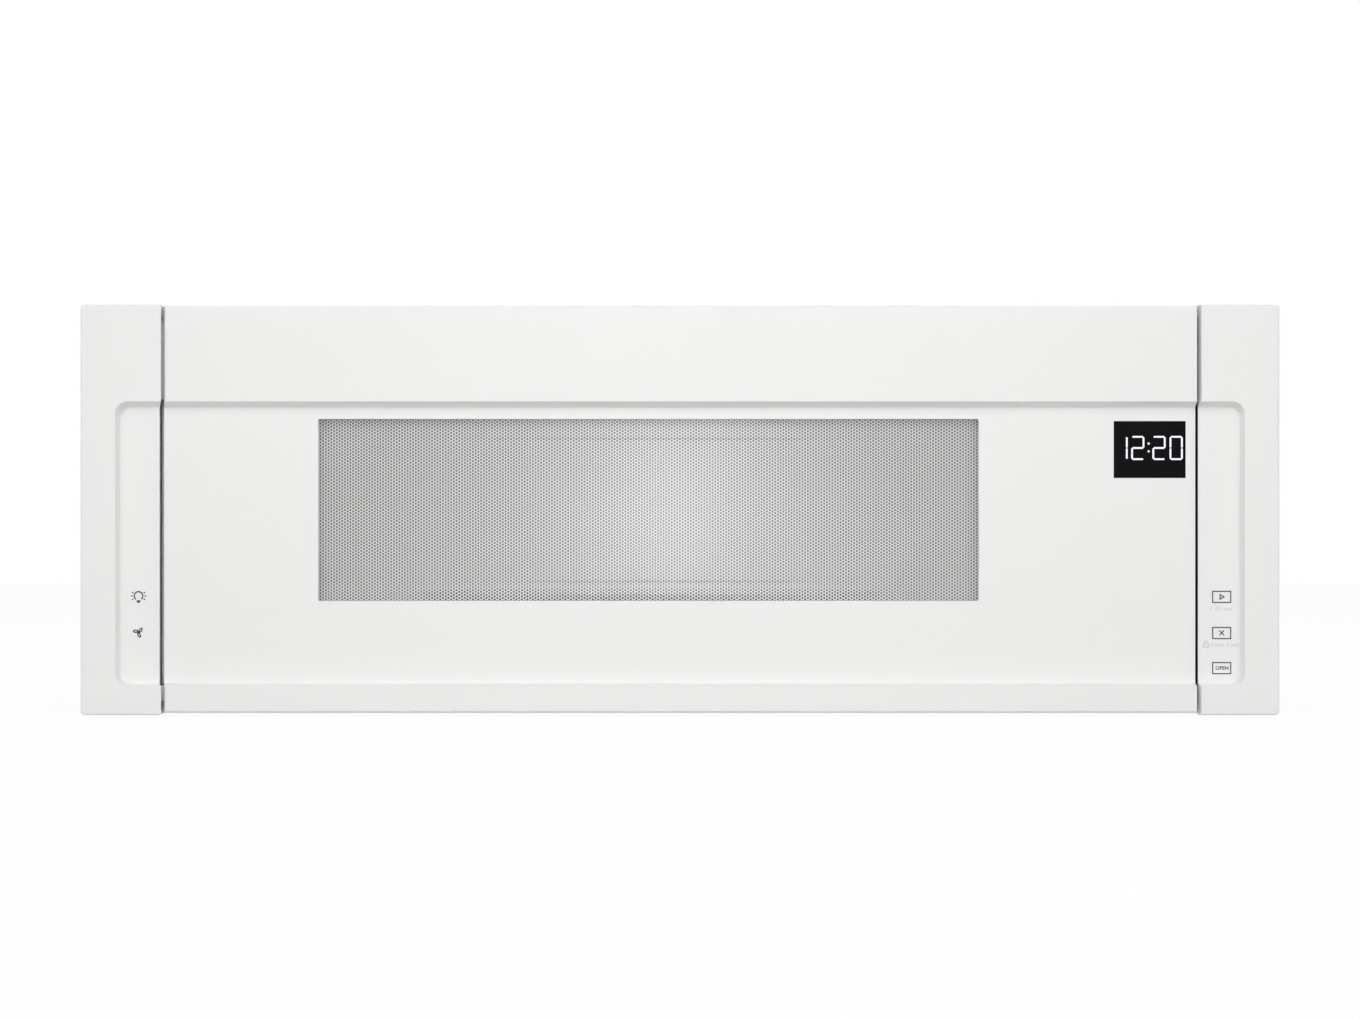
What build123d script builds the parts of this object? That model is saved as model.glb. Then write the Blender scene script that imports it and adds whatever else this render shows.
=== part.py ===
"""A low-profile microwave oven that hangs over a range: oven cavity, hood blower, side-hinged door.

Frame: millimetres, +X to the right, +Y towards the wall, +Z up. The origin is the centre of the
object's footprint at its base. The front of the door faces -Y.
"""

import math
import os

from build123d import *

os.makedirs("parts", exist_ok=True)

# ---------------------------------------------------------------- driving dimensions, in mm

WIDTH = 760.4
HEIGHT = 260.4
DEPTH = 470.0
HALF_W = WIDTH / 2
FRONT_Y = -DEPTH / 2
WALL_Y = DEPTH / 2

SHEET = 1.0  # steel sheet
SKIN = 2.5  # moulded plastic wall

# The shallow recess that runs across both end panels and the door
RECESS_DEPTH = 7.0
RECESS_HALF_W = 358.3
RECESS_TOP = 199.0
RECESS_BOTTOM = 18.4
RECESS_CORNER = 8.0
LEDGE_TOP = 3.5  # how far each sloping side of the recess reaches in
LEDGE_BOTTOM = 1.4
LEDGE_SIDE = 2.4
RECESS_Y = FRONT_Y + RECESS_DEPTH

# The door and the gaps beside it; both gaps lean left as they go in, for the door's swing
DOOR_LEFT = -326.9
DOOR_RIGHT = 328.0
DOOR_BOTTOM = 1.5
DOOR_TOP = 259.6
DOOR_LEAN_LEFT = 0.8
DOOR_LEAN_RIGHT = 0.7
LEFT_PANEL_EDGE = -329.0
RIGHT_PANEL_EDGE = 330.7
PANEL_LEAN = 1.65
PANEL_ROUND = 1.2  # soft front edges of the end panels
DOOR_ROUND = 1.6
CRISP_ROUND = 0.4  # the left one of the two edges that border each gap is crisp
DOOR_BACK_Y = FRONT_Y + 39.0
CHOKE_BACK_Y = FRONT_Y + 43.0
PLATE_Y = FRONT_Y + 45.0  # front face of the chassis front plate

DOOR_HOLLOW_X = (DOOR_LEFT + 1.7, DOOR_RIGHT - DOOR_LEAN_RIGHT - 0.5 - SKIN)
DOOR_HOLLOW_Z = (DOOR_BOTTOM + 2.0, DOOR_TOP - 3.5)
LIP_Y = (RECESS_Y + 10.0, RECESS_Y + 12.0)  # draught lip behind the left gap, between the hinges
LIP_Z = (26.0, 233.0)
LIP_REACH = 2.3

WINDOW_LEFT, WINDOW_RIGHT = -229.8, 189.8
WINDOW_LOW, WINDOW_HIGH = 72.4, 187.9
DISPLAY_LEFT, DISPLAY_RIGHT = 275.5, 321.2
DISPLAY_LOW, DISPLAY_HIGH = 150.4, 186.6
SCREEN_Y = RECESS_Y + 5.2  # front of the perforated screen
CHOKE_LEFT, CHOKE_RIGHT = -320.0, 281.0
CHOKE_LOW, CHOKE_HIGH = 28.0, 232.0
CHANNEL = 22.0
COVER_T = 1.6  # wall of the choke cover
COVER_REACH = 3.0  # how far its ring laps past the channel

# Hinge axis, close behind the front of the door's left edge
HINGE_X = DOOR_LEFT + 14.0
HINGE_Y = FRONT_Y + 10.0
PIN_R = 2.5
PIN_BORE_R = 2.55
ARM_HALF_W = 4.5
ARM_T = 2.5
LOWER_ARM_Z = 4.3
UPPER_ARM_Z = 252.5
ARM_ROOM = 1.4  # clear height of the door's slots above and below each arm
HINGE_FLANGE_H = 18.6
HINGE_FLANGE_T = 2.0
HINGE_BOSS_R = 5.5
HINGE_BOSS_Z = ((7.4, 16.5), (238.0, 251.8))

# Oven cavity, inside faces
CAVITY_LEFT, CAVITY_RIGHT = -300.0, 260.0
CAVITY_LOW, CAVITY_HIGH = 50.0, 210.0
CAVITY_BACK = 141.0
CAVITY_X = (CAVITY_LEFT + CAVITY_RIGHT) / 2
CAVITY_BEND = 9.0

# Chassis
CHASSIS_HALF_W = 379.0
CHASSIS_BACK = 225.0
COVER_TOP = 260.0

# Turntable, about a vertical axis
TABLE_X = CAVITY_X
TABLE_Y = -24.0
TRACK_R = 100.0
TRACK_FLOOR = 46.0
ROLLER_R = 7.5
ROLLER_W = 6.0
TRAY_R = 155.0
TRAY_T = 5.0
RUN_GAP = 0.3
TRAY_LOW = TRACK_FLOOR + 2 * ROLLER_R + 2 * RUN_GAP
ROLLER_Z = TRACK_FLOOR + RUN_GAP + ROLLER_R

# Latch hooks, drawn lifted clear of their catches so that the door can turn
HOOK_X = 294.0
HOOK_T = 4.0
LATCH_LIFT = 6.0
LATCHED_ARM_Z = (96.0, 168.0)  # underside of each hook's arm with the door locked
HOOK_ARM_H = 8.0
HOOK_BARB = 6.0
HOOK_TIP_Y = -168.0
LATCH_PLATE_Y = (-216.0, -203.0)
GUIDE_Y = -209.5
GUIDE_Z = (91.0, 155.0)
GUIDE_R = 2.2
SPRING_LOW = 46.0
PLUNGER_Y = -164.0
PLUNGER_R = 2.5

# Blower behind the cavity, about an axis along X
BLOWER_Y = 184.0
BLOWER_Z = 214.0
WHEEL_R = 33.0
WHEEL_IN_R = 26.0
WHEEL_LENGTH = 104.0
SCROLL_R = 39.0
SCROLL_INNER, SCROLL_OUTER = 50.0, 170.0
SHAFT_R = 4.0
BLADES = 28

# Microwave power side, right of the cavity
SHELF_TOP = 24.0  # deck of the component shelf, high enough for air to pass beneath
SHELF_FRONT, SHELF_BACK = -112.0, 172.0
SHELF_LEFT, SHELF_RIGHT = CAVITY_RIGHT + 2.2, 377.4
ANTENNA_Y, ANTENNA_Z = 30.0, 155.0
MAGNETRON_HALF_Y, MAGNETRON_HALF_Z = 45.0, 37.0
MAGNETRON_LENGTH = 54.0
GUIDE_REACH = 26.0  # how far the waveguide stands off the cavity wall
BULB_Y, BULB_Z = -90.0, 160.0
STEAM_Y, STEAM_Z = 60.0, 170.0
VENT_PITCH = 7.0
VENT_R = 2.2
BOARD_X = 372.0

# Cooling fan for the magnetron, about an axis along Y
FAN_X = 318.0
FAN_Y = 196.0
FAN_Z = 160.0
FAN_R = 43.0

# Grease filters under the chassis
FILTER_INNER, FILTER_OUTER = 170.0, 350.0
FILTER_FRONT, FILTER_BACK = -90.0, 160.0
FILTER_LOW = 1.6
FILTER_T = 8.0
FILTER_GAP = 1.0
FILTER_FRAME = 9.0
FILTER_ROLL = 1.6  # radius of the rolled lower edge, on which the filter swings

# Fixings to the building
NUT_X = 203.2
NUT_Y = 60.0
NUT_R = 3.2
LAG_X = 203.2
LAG_Z = (80.0, 170.0)
LAG_R = 4.0
PLATE_FRONT_Y = WALL_Y - 1.5
TAB_X = (-220.0, 0.0, 220.0)  # tabs of the wall plate, hooked through the rear panel
DIMPLES = [(x, y) for x in (-366.0, -150.0, 150.0, 366.0) for y in (-176.0, 212.0)]  # base screws


# ---------------------------------------------------------------- sketch planes and small helpers


def facing_front(y):
    """A sketch plane at that y. Its normal points out of the front, and its v runs up."""
    return Plane.XZ.offset(-y)


def facing_right(x):
    """A sketch plane at that x. Its normal points right, its u runs to the wall and its v up."""
    return Plane.YZ.offset(x)


def level(z):
    """A horizontal sketch plane at that height."""
    return Plane.XY.offset(z)


def span(u0, u1, v0, v1, radius=0.0, mode=Mode.ADD):
    """A rectangle between two corners of the sketch, its corners rounded if a radius is given."""
    with Locations(((u0 + u1) / 2, (v0 + v1) / 2)):
        if radius:
            RectangleRounded(abs(u1 - u0), abs(v1 - v0), radius, mode=mode)
        else:
            Rectangle(abs(u1 - u0), abs(v1 - v0), mode=mode)


def cut_span(plane, u0, u1, v0, v1, depth, radius=0.0):
    """Cuts a straight pocket into the part being built, along the plane's normal."""
    with BuildSketch(plane) as profile:
        span(u0, u1, v0, v1, radius)
    extrude(profile.sketch, amount=depth, mode=Mode.SUBTRACT)


def add_span(plane, u0, u1, v0, v1, depth, radius=0.0):
    """Adds a straight block to the part being built, along the plane's normal."""
    with BuildSketch(plane) as profile:
        span(u0, u1, v0, v1, radius)
    extrude(profile.sketch, amount=depth)


def outline(*points):
    """A closed straight-sided face in the sketch being built."""
    Polygon(*points)


# ---------------------------------------------------------------- the recess, as a cutting tool

with BuildPart() as recess:
    with BuildSketch(facing_front(RECESS_Y)):
        span(
            -RECESS_HALF_W + LEDGE_SIDE,
            RECESS_HALF_W - LEDGE_SIDE,
            RECESS_BOTTOM + LEDGE_BOTTOM,
            RECESS_TOP - LEDGE_TOP,
            RECESS_CORNER - 1.5,
        )
    with BuildSketch(facing_front(FRONT_Y)):
        span(-RECESS_HALF_W, RECESS_HALF_W, RECESS_BOTTOM, RECESS_TOP, RECESS_CORNER)
    loft()
    fillet(recess.faces().sort_by(Axis.Y)[-1].edges(), 1.6)
    with BuildSketch(facing_front(FRONT_Y)):
        span(-RECESS_HALF_W, RECESS_HALF_W, RECESS_BOTTOM, RECESS_TOP, RECESS_CORNER)
    extrude(amount=2.0)


# ---------------------------------------------------------------- the moulded front

# Left end panel: a hollow moulding beside the door's hinge side
with BuildPart() as left_end_panel:
    with BuildSketch(facing_front(PLATE_Y)):
        span(-HALF_W, LEFT_PANEL_EDGE, 0, HEIGHT)
    extrude(amount=PLATE_Y - FRONT_Y)
    fillet(left_end_panel.edges().filter_by(Axis.Y).group_by(Axis.X)[0], 3.0)
    with BuildSketch(level(0)):
        outline(
            (LEFT_PANEL_EDGE, FRONT_Y),
            (LEFT_PANEL_EDGE - PANEL_LEAN, RECESS_Y),
            (LEFT_PANEL_EDGE - PANEL_LEAN, PLATE_Y),
            (LEFT_PANEL_EDGE + 1, PLATE_Y),
            (LEFT_PANEL_EDGE + 1, FRONT_Y),
        )
    extrude(amount=HEIGHT, mode=Mode.SUBTRACT)
    fillet(left_end_panel.faces().sort_by(Axis.Y)[0].edges().sort_by(Axis.X)[:-1], PANEL_ROUND)
    fillet(left_end_panel.faces().sort_by(Axis.Y)[0].edges().sort_by(Axis.X)[-1], CRISP_ROUND)
    add(recess.part, mode=Mode.SUBTRACT)
    left_hollow = (-HALF_W + SKIN, LEFT_PANEL_EDGE - PANEL_LEAN - SKIN)
    cut_span(facing_front(PLATE_Y), *left_hollow, SKIN, HEIGHT - SKIN, PLATE_Y - RECESS_Y - SKIN, 1.5)
    cut_span(facing_front(RECESS_Y + SKIN), *left_hollow, RECESS_TOP + SKIN, HEIGHT - SKIN, RECESS_DEPTH)
    cut_span(facing_front(RECESS_Y + SKIN), *left_hollow, SKIN, RECESS_BOTTOM - SKIN, RECESS_DEPTH)
    cut_span(
        facing_front(RECESS_Y + SKIN),
        -HALF_W + SKIN,
        -RECESS_HALF_W - SKIN,
        SKIN,
        HEIGHT - SKIN,
        RECESS_DEPTH,
    )
    # screw bosses, each reaching back to the front plate
    for boss_z, wall_y in ((30.0, RECESS_Y + SKIN), (230.0, FRONT_Y + SKIN)):
        with BuildSketch(facing_front(PLATE_Y)):
            with Locations((-346, boss_z)):
                Circle(4)
        extrude(amount=PLATE_Y - wall_y + 0.5)
        with BuildSketch(facing_front(PLATE_Y)):
            with Locations((-346, boss_z)):
                RegularPolygon(1.6, 6)
        extrude(amount=20, mode=Mode.SUBTRACT)
left_end_panel.part.label = "left_end_panel"
export_step(left_end_panel.part, "parts/left_end_panel.step")

# Right end panel: a shallower moulding, backed by the black control housing
RIGHT_PANEL_BACK = RECESS_Y + 3.5
with BuildPart() as right_end_panel:
    with BuildSketch(facing_front(PLATE_Y)):
        span(RIGHT_PANEL_EDGE, HALF_W, 0, HEIGHT)
    extrude(amount=PLATE_Y - FRONT_Y)
    fillet(right_end_panel.edges().filter_by(Axis.Y).group_by(Axis.X)[-1], 3.0)
    with BuildSketch(level(0)):
        outline(
            (RIGHT_PANEL_EDGE + 2, FRONT_Y),
            (RIGHT_PANEL_EDGE, FRONT_Y),
            (RIGHT_PANEL_EDGE - PANEL_LEAN, RECESS_Y),
            (RIGHT_PANEL_EDGE - PANEL_LEAN, RIGHT_PANEL_BACK),
            (RIGHT_PANEL_EDGE + 2, RIGHT_PANEL_BACK),
        )
    extrude(amount=HEIGHT)
    fillet(right_end_panel.faces().sort_by(Axis.Y)[0].edges(), PANEL_ROUND)
    add(recess.part, mode=Mode.SUBTRACT)
    right_hollow = (RIGHT_PANEL_EDGE - 3, HALF_W - SKIN)
    cut_span(facing_front(PLATE_Y), *right_hollow, SKIN, HEIGHT - SKIN, PLATE_Y - RECESS_Y - SKIN)
    right_band = (RIGHT_PANEL_EDGE + SKIN, HALF_W - SKIN)
    cut_span(facing_front(RECESS_Y + SKIN), *right_band, RECESS_TOP + SKIN, HEIGHT - SKIN, RECESS_DEPTH)
    cut_span(facing_front(RECESS_Y + SKIN), *right_band, SKIN, RECESS_BOTTOM - SKIN, RECESS_DEPTH)
    cut_span(
        facing_front(RECESS_Y + SKIN),
        RECESS_HALF_W + SKIN,
        HALF_W - SKIN,
        SKIN,
        HEIGHT - SKIN,
        RECESS_DEPTH,
    )
right_end_panel.part.label = "right_end_panel"
export_step(right_end_panel.part, "parts/right_end_panel.step")

# Control housing: the black tray behind the right end panel, whose side wall lines the gap
HOUSING_LEFT = RIGHT_PANEL_EDGE - PANEL_LEAN
HOUSING_FRONT = RECESS_Y + SKIN + 0.1
with BuildPart() as control_housing:
    with BuildSketch(facing_front(PLATE_Y)):
        span(HOUSING_LEFT, HALF_W - SKIN - 0.3, SKIN + 4.0, HEIGHT - SKIN - 4.0, 2.0)
    extrude(amount=PLATE_Y - HOUSING_FRONT)
    cut_span(
        facing_front(PLATE_Y - 2.0),
        HOUSING_LEFT + 2.0,
        HALF_W - SKIN - 2.3,
        SKIN + 6.0,
        HEIGHT - SKIN - 6.0,
        PLATE_Y - HOUSING_FRONT,
        1.0,
    )
    with BuildSketch(facing_front(PLATE_Y - 2.0)):
        with Locations((355, 40), (355, 100)):
            Circle(5)
    extrude(amount=22)
    cut_span(facing_front(PLATE_Y), 345, 365, 205, 225, 3.0, 2.0)
control_housing.part.label = "control_housing"
export_step(control_housing.part, "parts/control_housing.step")

# Touch boards: the sensing circuit boards behind the printed symbols on both end panels
with BuildPart() as touch_boards:
    with BuildSketch(facing_front(RECESS_Y + SKIN + 2.0)):
        span(-370.0, -335.5, 35.0, 95.0, 2.0)
        span(333.0, 372.0, 16.0, 95.0, 2.0)
    extrude(amount=1.6)
touch_boards.part.label = "touch_boards"
export_step(touch_boards.part, "parts/touch_boards.step")

# Door fascia: the wide white moulding, hollow behind, with its window and display openings
with BuildPart() as door_fascia:
    with BuildSketch(level(DOOR_BOTTOM)):
        outline(
            (DOOR_LEFT, FRONT_Y),
            (DOOR_LEFT - DOOR_LEAN_LEFT, RECESS_Y),
            (DOOR_LEFT - DOOR_LEAN_LEFT, DOOR_BACK_Y),
            (DOOR_RIGHT - DOOR_LEAN_RIGHT - 0.5, DOOR_BACK_Y),
            (DOOR_RIGHT - DOOR_LEAN_RIGHT, RECESS_Y),
            (DOOR_RIGHT, FRONT_Y),
        )
    extrude(amount=DOOR_TOP - DOOR_BOTTOM)
    fillet(door_fascia.faces().sort_by(Axis.Y)[0].edges().sort_by(Axis.X)[:-1], DOOR_ROUND)
    fillet(door_fascia.faces().sort_by(Axis.Y)[0].edges().sort_by(Axis.X)[-1], CRISP_ROUND)
    add(recess.part, mode=Mode.SUBTRACT)
    cut_span(facing_front(DOOR_BACK_Y), *DOOR_HOLLOW_X, *DOOR_HOLLOW_Z, DOOR_BACK_Y - RECESS_Y - SKIN)
    for band_z in ((RECESS_TOP + SKIN, DOOR_HOLLOW_Z[1]), (DOOR_HOLLOW_Z[0], RECESS_BOTTOM - SKIN)):
        cut_span(facing_front(RECESS_Y + SKIN), *DOOR_HOLLOW_X, *band_z, RECESS_DEPTH)
    # window and display openings
    cut_span(facing_front(RECESS_Y + 8), WINDOW_LEFT, WINDOW_RIGHT, WINDOW_LOW, WINDOW_HIGH, 20, 1.0)
    cut_span(facing_front(RECESS_Y + 8), DISPLAY_LEFT, DISPLAY_RIGHT, DISPLAY_LOW, DISPLAY_HIGH, 20)
    # hinge bosses, each tied to the front wall by a rib
    for boss_low, boss_high in HINGE_BOSS_Z:
        with BuildSketch(level(boss_low)):
            with Locations((HINGE_X, HINGE_Y)):
                Circle(HINGE_BOSS_R)
            span(HINGE_X - 2.0, HINGE_X + 2.0, FRONT_Y + 2.0, HINGE_Y)
        extrude(amount=boss_high - boss_low)
    for bore_low, bore_high in ((7.0, 15.9), (239.6, 252.0)):
        with BuildSketch(level(bore_low)):
            with Locations((HINGE_X, HINGE_Y)):
                Circle(PIN_BORE_R)
        extrude(amount=bore_high - bore_low, mode=Mode.SUBTRACT)
    # slots that the hinge arms sweep through as the door turns
    for slot_low, slot_high in (
        (DOOR_HOLLOW_Z[0], HINGE_BOSS_Z[0][0]),
        (HINGE_BOSS_Z[1][1], DOOR_HOLLOW_Z[1]),
    ):
        cut_span(
            level(slot_low),
            DOOR_LEFT - 3.0,
            DOOR_LEFT + 2.5,
            FRONT_Y + 3.4,
            DOOR_BACK_Y + 1.0,
            slot_high - slot_low,
        )
    # draught lip, which all but closes the left gap behind the door's edge
    add_span(
        facing_front(LIP_Y[1]),
        DOOR_LEFT - DOOR_LEAN_LEFT - LIP_REACH,
        DOOR_LEFT - DOOR_LEAN_LEFT + 0.5,
        *LIP_Z,
        LIP_Y[1] - LIP_Y[0],
    )
    # stiffening ribs behind the top band
    for rib_x in (-240, -160, -80, 0, 80, 160, 240):
        add_span(
            level(RECESS_TOP + 1.0),
            rib_x - 1,
            rib_x + 1,
            FRONT_Y + 2.0,
            SCREEN_Y - 0.4,
            DOOR_TOP - 3.0 - RECESS_TOP,
        )
    # screw bosses for the steel choke frame
    with BuildSketch(facing_front(SCREEN_Y)):
        with Locations((-270, 222), (-90, 222), (90, 222), (250, 222)):
            Circle(4.0)
    extrude(amount=SCREEN_Y - FRONT_Y - 2.0)
door_fascia.part.label = "door_fascia"
export_step(door_fascia.part, "parts/door_fascia.step")

# Window pane: flush in the fascia, with a flange behind the opening
with BuildPart() as window_pane:
    with BuildSketch(facing_front(RECESS_Y + SKIN + 2.0)):
        span(WINDOW_LEFT - 6, WINDOW_RIGHT + 6, WINDOW_LOW - 6, WINDOW_HIGH + 5, 3.0)
    extrude(amount=2.0)
    with BuildSketch(facing_front(RECESS_Y + SKIN)):
        span(WINDOW_LEFT, WINDOW_RIGHT, WINDOW_LOW, WINDOW_HIGH, 1.0)
    extrude(amount=SKIN - 0.1)
window_pane.part.label = "window_pane"
export_step(window_pane.part, "parts/window_pane.step")

# Display lens: the black square window of the clock
with BuildPart() as display_lens:
    with BuildSketch(facing_front(RECESS_Y + SKIN + 1.5)):
        span(DISPLAY_LEFT - 3, DISPLAY_RIGHT + 2.5, DISPLAY_LOW - 4, DISPLAY_HIGH + 4, 1.0)
    extrude(amount=1.5)
    with BuildSketch(facing_front(RECESS_Y + SKIN)):
        span(DISPLAY_LEFT, DISPLAY_RIGHT, DISPLAY_LOW, DISPLAY_HIGH)
    extrude(amount=SKIN)
display_lens.part.label = "display_lens"
export_step(display_lens.part, "parts/display_lens.step")

# Display module: circuit board with the clock block and its connector
with BuildPart() as display_module:
    add_span(facing_front(RECESS_Y + SKIN + 7.5), CHOKE_RIGHT + 1.5, 323.5, 140.0, 194.0, 1.6, 1.5)
    add_span(facing_front(RECESS_Y + SKIN + 6.0), CHOKE_RIGHT + 2.0, 321.0, 157.0, 182.0, 4.3)
    add_span(facing_front(RECESS_Y + SKIN + 12.5), 300.0, 318.0, 143.0, 149.0, 5.0)
display_module.part.label = "display_module"
export_step(display_module.part, "parts/display_module.step")

# Choke frame: the pressed steel channel that seals the door against the front plate
with BuildPart() as choke_frame:
    with BuildSketch(facing_front(CHOKE_BACK_Y - COVER_T)):
        span(CHOKE_LEFT, CHOKE_RIGHT, CHOKE_LOW, CHOKE_HIGH, 5.0)
    extrude(amount=CHOKE_BACK_Y - COVER_T - SCREEN_Y)
    with BuildSketch(facing_front(CHOKE_BACK_Y - COVER_T)) as channel:
        span(CHOKE_LEFT + 1, CHOKE_RIGHT - 1, CHOKE_LOW + 1, CHOKE_HIGH - 1, 4.0)
        span(
            CHOKE_LEFT + CHANNEL - 1,
            CHOKE_RIGHT - CHANNEL + 1,
            CHOKE_LOW + CHANNEL - 1,
            CHOKE_HIGH - CHANNEL + 1,
            4.0,
            mode=Mode.SUBTRACT,
        )
    extrude(amount=CHOKE_BACK_Y - COVER_T - SCREEN_Y - 1.0, mode=Mode.SUBTRACT)
    cut_span(
        facing_front(CHOKE_BACK_Y),
        CHOKE_LEFT + CHANNEL,
        CHOKE_RIGHT - CHANNEL,
        CHOKE_LOW + CHANNEL,
        CHOKE_HIGH - CHANNEL,
        50,
        3.0,
    )
    # fingers: notches along the inner wall at a quarter-wave pitch
    finger_plane = facing_front(CHOKE_BACK_Y - 1.0)
    for column in range(20):
        finger_x = CHOKE_LEFT + 40 + column * 27.4
        cut_span(finger_plane, finger_x - 2, finger_x + 2, CHOKE_LOW + 20, CHOKE_LOW + 24, 14)
        cut_span(finger_plane, finger_x - 2, finger_x + 2, CHOKE_HIGH - 24, CHOKE_HIGH - 20, 14)
    for row in range(5):
        finger_z = CHOKE_LOW + 46 + row * 28
        cut_span(finger_plane, CHOKE_LEFT + 20, CHOKE_LEFT + 24, finger_z - 2, finger_z + 2, 14)
        cut_span(finger_plane, CHOKE_RIGHT - 24, CHOKE_RIGHT - 20, finger_z - 2, finger_z + 2, 14)
    # two posts that guide the latch plate
    with BuildSketch(facing_right(CHOKE_RIGHT - 0.5)):
        with Locations(*[(GUIDE_Y, guide_z) for guide_z in GUIDE_Z]):
            Circle(GUIDE_R)
    extrude(amount=18.0)
choke_frame.part.label = "choke_frame"
export_step(choke_frame.part, "parts/choke_frame.step")

# Perforated screen: the steel sheet that closes the choke frame behind the window
with BuildPart() as door_screen:
    with BuildSketch(facing_front(SCREEN_Y + 0.5)):
        span(
            CHOKE_LEFT + CHANNEL + 0.1,
            CHOKE_RIGHT - CHANNEL - 0.1,
            CHOKE_LOW + CHANNEL + 0.1,
            CHOKE_HIGH - CHANNEL - 0.1,
            2.9,
        )
    extrude(amount=0.5)
door_screen.part.label = "door_screen"
export_step(door_screen.part, "parts/door_screen.step")

# Choke cover: the snap-in plastic ring over the channel, with a rim that closes the fascia's back
COVER_FRONT = CHOKE_BACK_Y - COVER_T
with BuildPart() as choke_cover:
    with BuildSketch(facing_front(CHOKE_BACK_Y)):
        span(
            CHOKE_LEFT - COVER_REACH,
            CHOKE_RIGHT + COVER_REACH,
            CHOKE_LOW - COVER_REACH,
            CHOKE_HIGH + COVER_REACH,
            7.0,
        )
        span(
            CHOKE_LEFT + CHANNEL + 4,
            CHOKE_RIGHT - CHANNEL - 4,
            CHOKE_LOW + CHANNEL + 4,
            CHOKE_HIGH - CHANNEL - 4,
            4.0,
            mode=Mode.SUBTRACT,
        )
    extrude(amount=COVER_T)
    with BuildSketch(facing_front(COVER_FRONT)):
        span(
            CHOKE_LEFT - COVER_REACH,
            CHOKE_RIGHT + COVER_REACH,
            CHOKE_LOW - COVER_REACH,
            CHOKE_HIGH + COVER_REACH,
            7.0,
        )
        span(
            CHOKE_LEFT - 0.5,
            CHOKE_RIGHT + 0.5,
            CHOKE_LOW - 0.5,
            CHOKE_HIGH + 0.5,
            5.5,
            mode=Mode.SUBTRACT,
        )
    extrude(amount=8.0)
    fillet(choke_cover.faces().sort_by(Axis.Y)[-1].outer_wire().edges(), 0.8)
    with BuildSketch(facing_front(DOOR_BACK_Y)):
        span(
            DOOR_HOLLOW_X[0] + RUN_GAP,
            DOOR_HOLLOW_X[1] - RUN_GAP,
            DOOR_HOLLOW_Z[0] + RUN_GAP,
            DOOR_HOLLOW_Z[1] - RUN_GAP,
            1.0,
        )
        span(
            CHOKE_LEFT - 0.5,
            CHOKE_RIGHT + 0.5,
            CHOKE_LOW - 0.5,
            CHOKE_HIGH + 0.5,
            5.5,
            mode=Mode.SUBTRACT,
        )
        # corners that the hinge arms pass through
        arm_clear_x = (DOOR_HOLLOW_X[0], HINGE_X + ARM_HALF_W + 2.4)
        span(*arm_clear_x, DOOR_HOLLOW_Z[0], LOWER_ARM_Z + ARM_T + ARM_ROOM, mode=Mode.SUBTRACT)
        span(*arm_clear_x, UPPER_ARM_Z - ARM_ROOM, DOOR_HOLLOW_Z[1], mode=Mode.SUBTRACT)
        # slots for the arms of the latch hooks
        for latched_z in LATCHED_ARM_Z:
            span(
                HOOK_X - HOOK_T / 2 - 1.5,
                HOOK_X + HOOK_T / 2 + 1.5,
                latched_z - 2.0,
                latched_z + HOOK_ARM_H + LATCH_LIFT + 2.0,
                mode=Mode.SUBTRACT,
            )
    extrude(amount=COVER_T)
    # stiffening ribs across the rim, below the ring and above it
    for rib_x in range(-270, 300, 90):
        add_span(facing_front(DOOR_BACK_Y - 1.0), rib_x - 0.8, rib_x + 0.8, 5.0, CHOKE_LOW - 1.0, 6.0)
        add_span(facing_front(DOOR_BACK_Y - 1.0), rib_x - 0.8, rib_x + 0.8, CHOKE_HIGH + 1.0, 254.6, 6.0)
choke_cover.part.label = "choke_cover"
export_step(choke_cover.part, "parts/choke_cover.step")

# Inner window: the wipe-clean pane on the cavity side
with BuildPart() as inner_window:
    with BuildSketch(facing_front(COVER_FRONT - 0.1)):
        span(
            CHOKE_LEFT + CHANNEL + 0.3,
            CHOKE_RIGHT - CHANNEL - 0.3,
            CHOKE_LOW + CHANNEL + 0.3,
            CHOKE_HIGH - CHANNEL - 0.3,
            2.7,
        )
    extrude(amount=2.0)
inner_window.part.label = "inner_window"
export_step(inner_window.part, "parts/inner_window.step")

# ---------------------------------------------------------------- hinges

# Hinge brackets: a flange on the front plate and an arm that reaches forward into the door
for bracket_name, arm_z, flange_low, flange_high in (
    ("hinge_bracket_lower", LOWER_ARM_Z, LOWER_ARM_Z, LOWER_ARM_Z + HINGE_FLANGE_H),
    ("hinge_bracket_upper", UPPER_ARM_Z, UPPER_ARM_Z + ARM_T - HINGE_FLANGE_H, UPPER_ARM_Z + ARM_T),
):
    with BuildPart() as hinge_bracket:
        with BuildSketch(level(arm_z)):
            with Locations((HINGE_X, HINGE_Y)):
                Circle(ARM_HALF_W)
            span(HINGE_X - ARM_HALF_W, HINGE_X + ARM_HALF_W, HINGE_Y, PLATE_Y - HINGE_FLANGE_T)
            with Locations((HINGE_X, HINGE_Y)):
                Circle(PIN_R, mode=Mode.SUBTRACT)
        extrude(amount=ARM_T)
        with BuildSketch(facing_front(PLATE_Y)):
            span(HINGE_X - 11, HINGE_X + 11, flange_low, flange_high, 1.2)
            with Locations((HINGE_X, (flange_low + flange_high) / 2)):
                with GridLocations(12.0, 0, 2, 1):
                    RegularPolygon(2.2, 8, mode=Mode.SUBTRACT)
        extrude(amount=HINGE_FLANGE_T)
    hinge_bracket.part.label = bracket_name
    export_step(hinge_bracket.part, f"parts/{bracket_name}.step")

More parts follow.
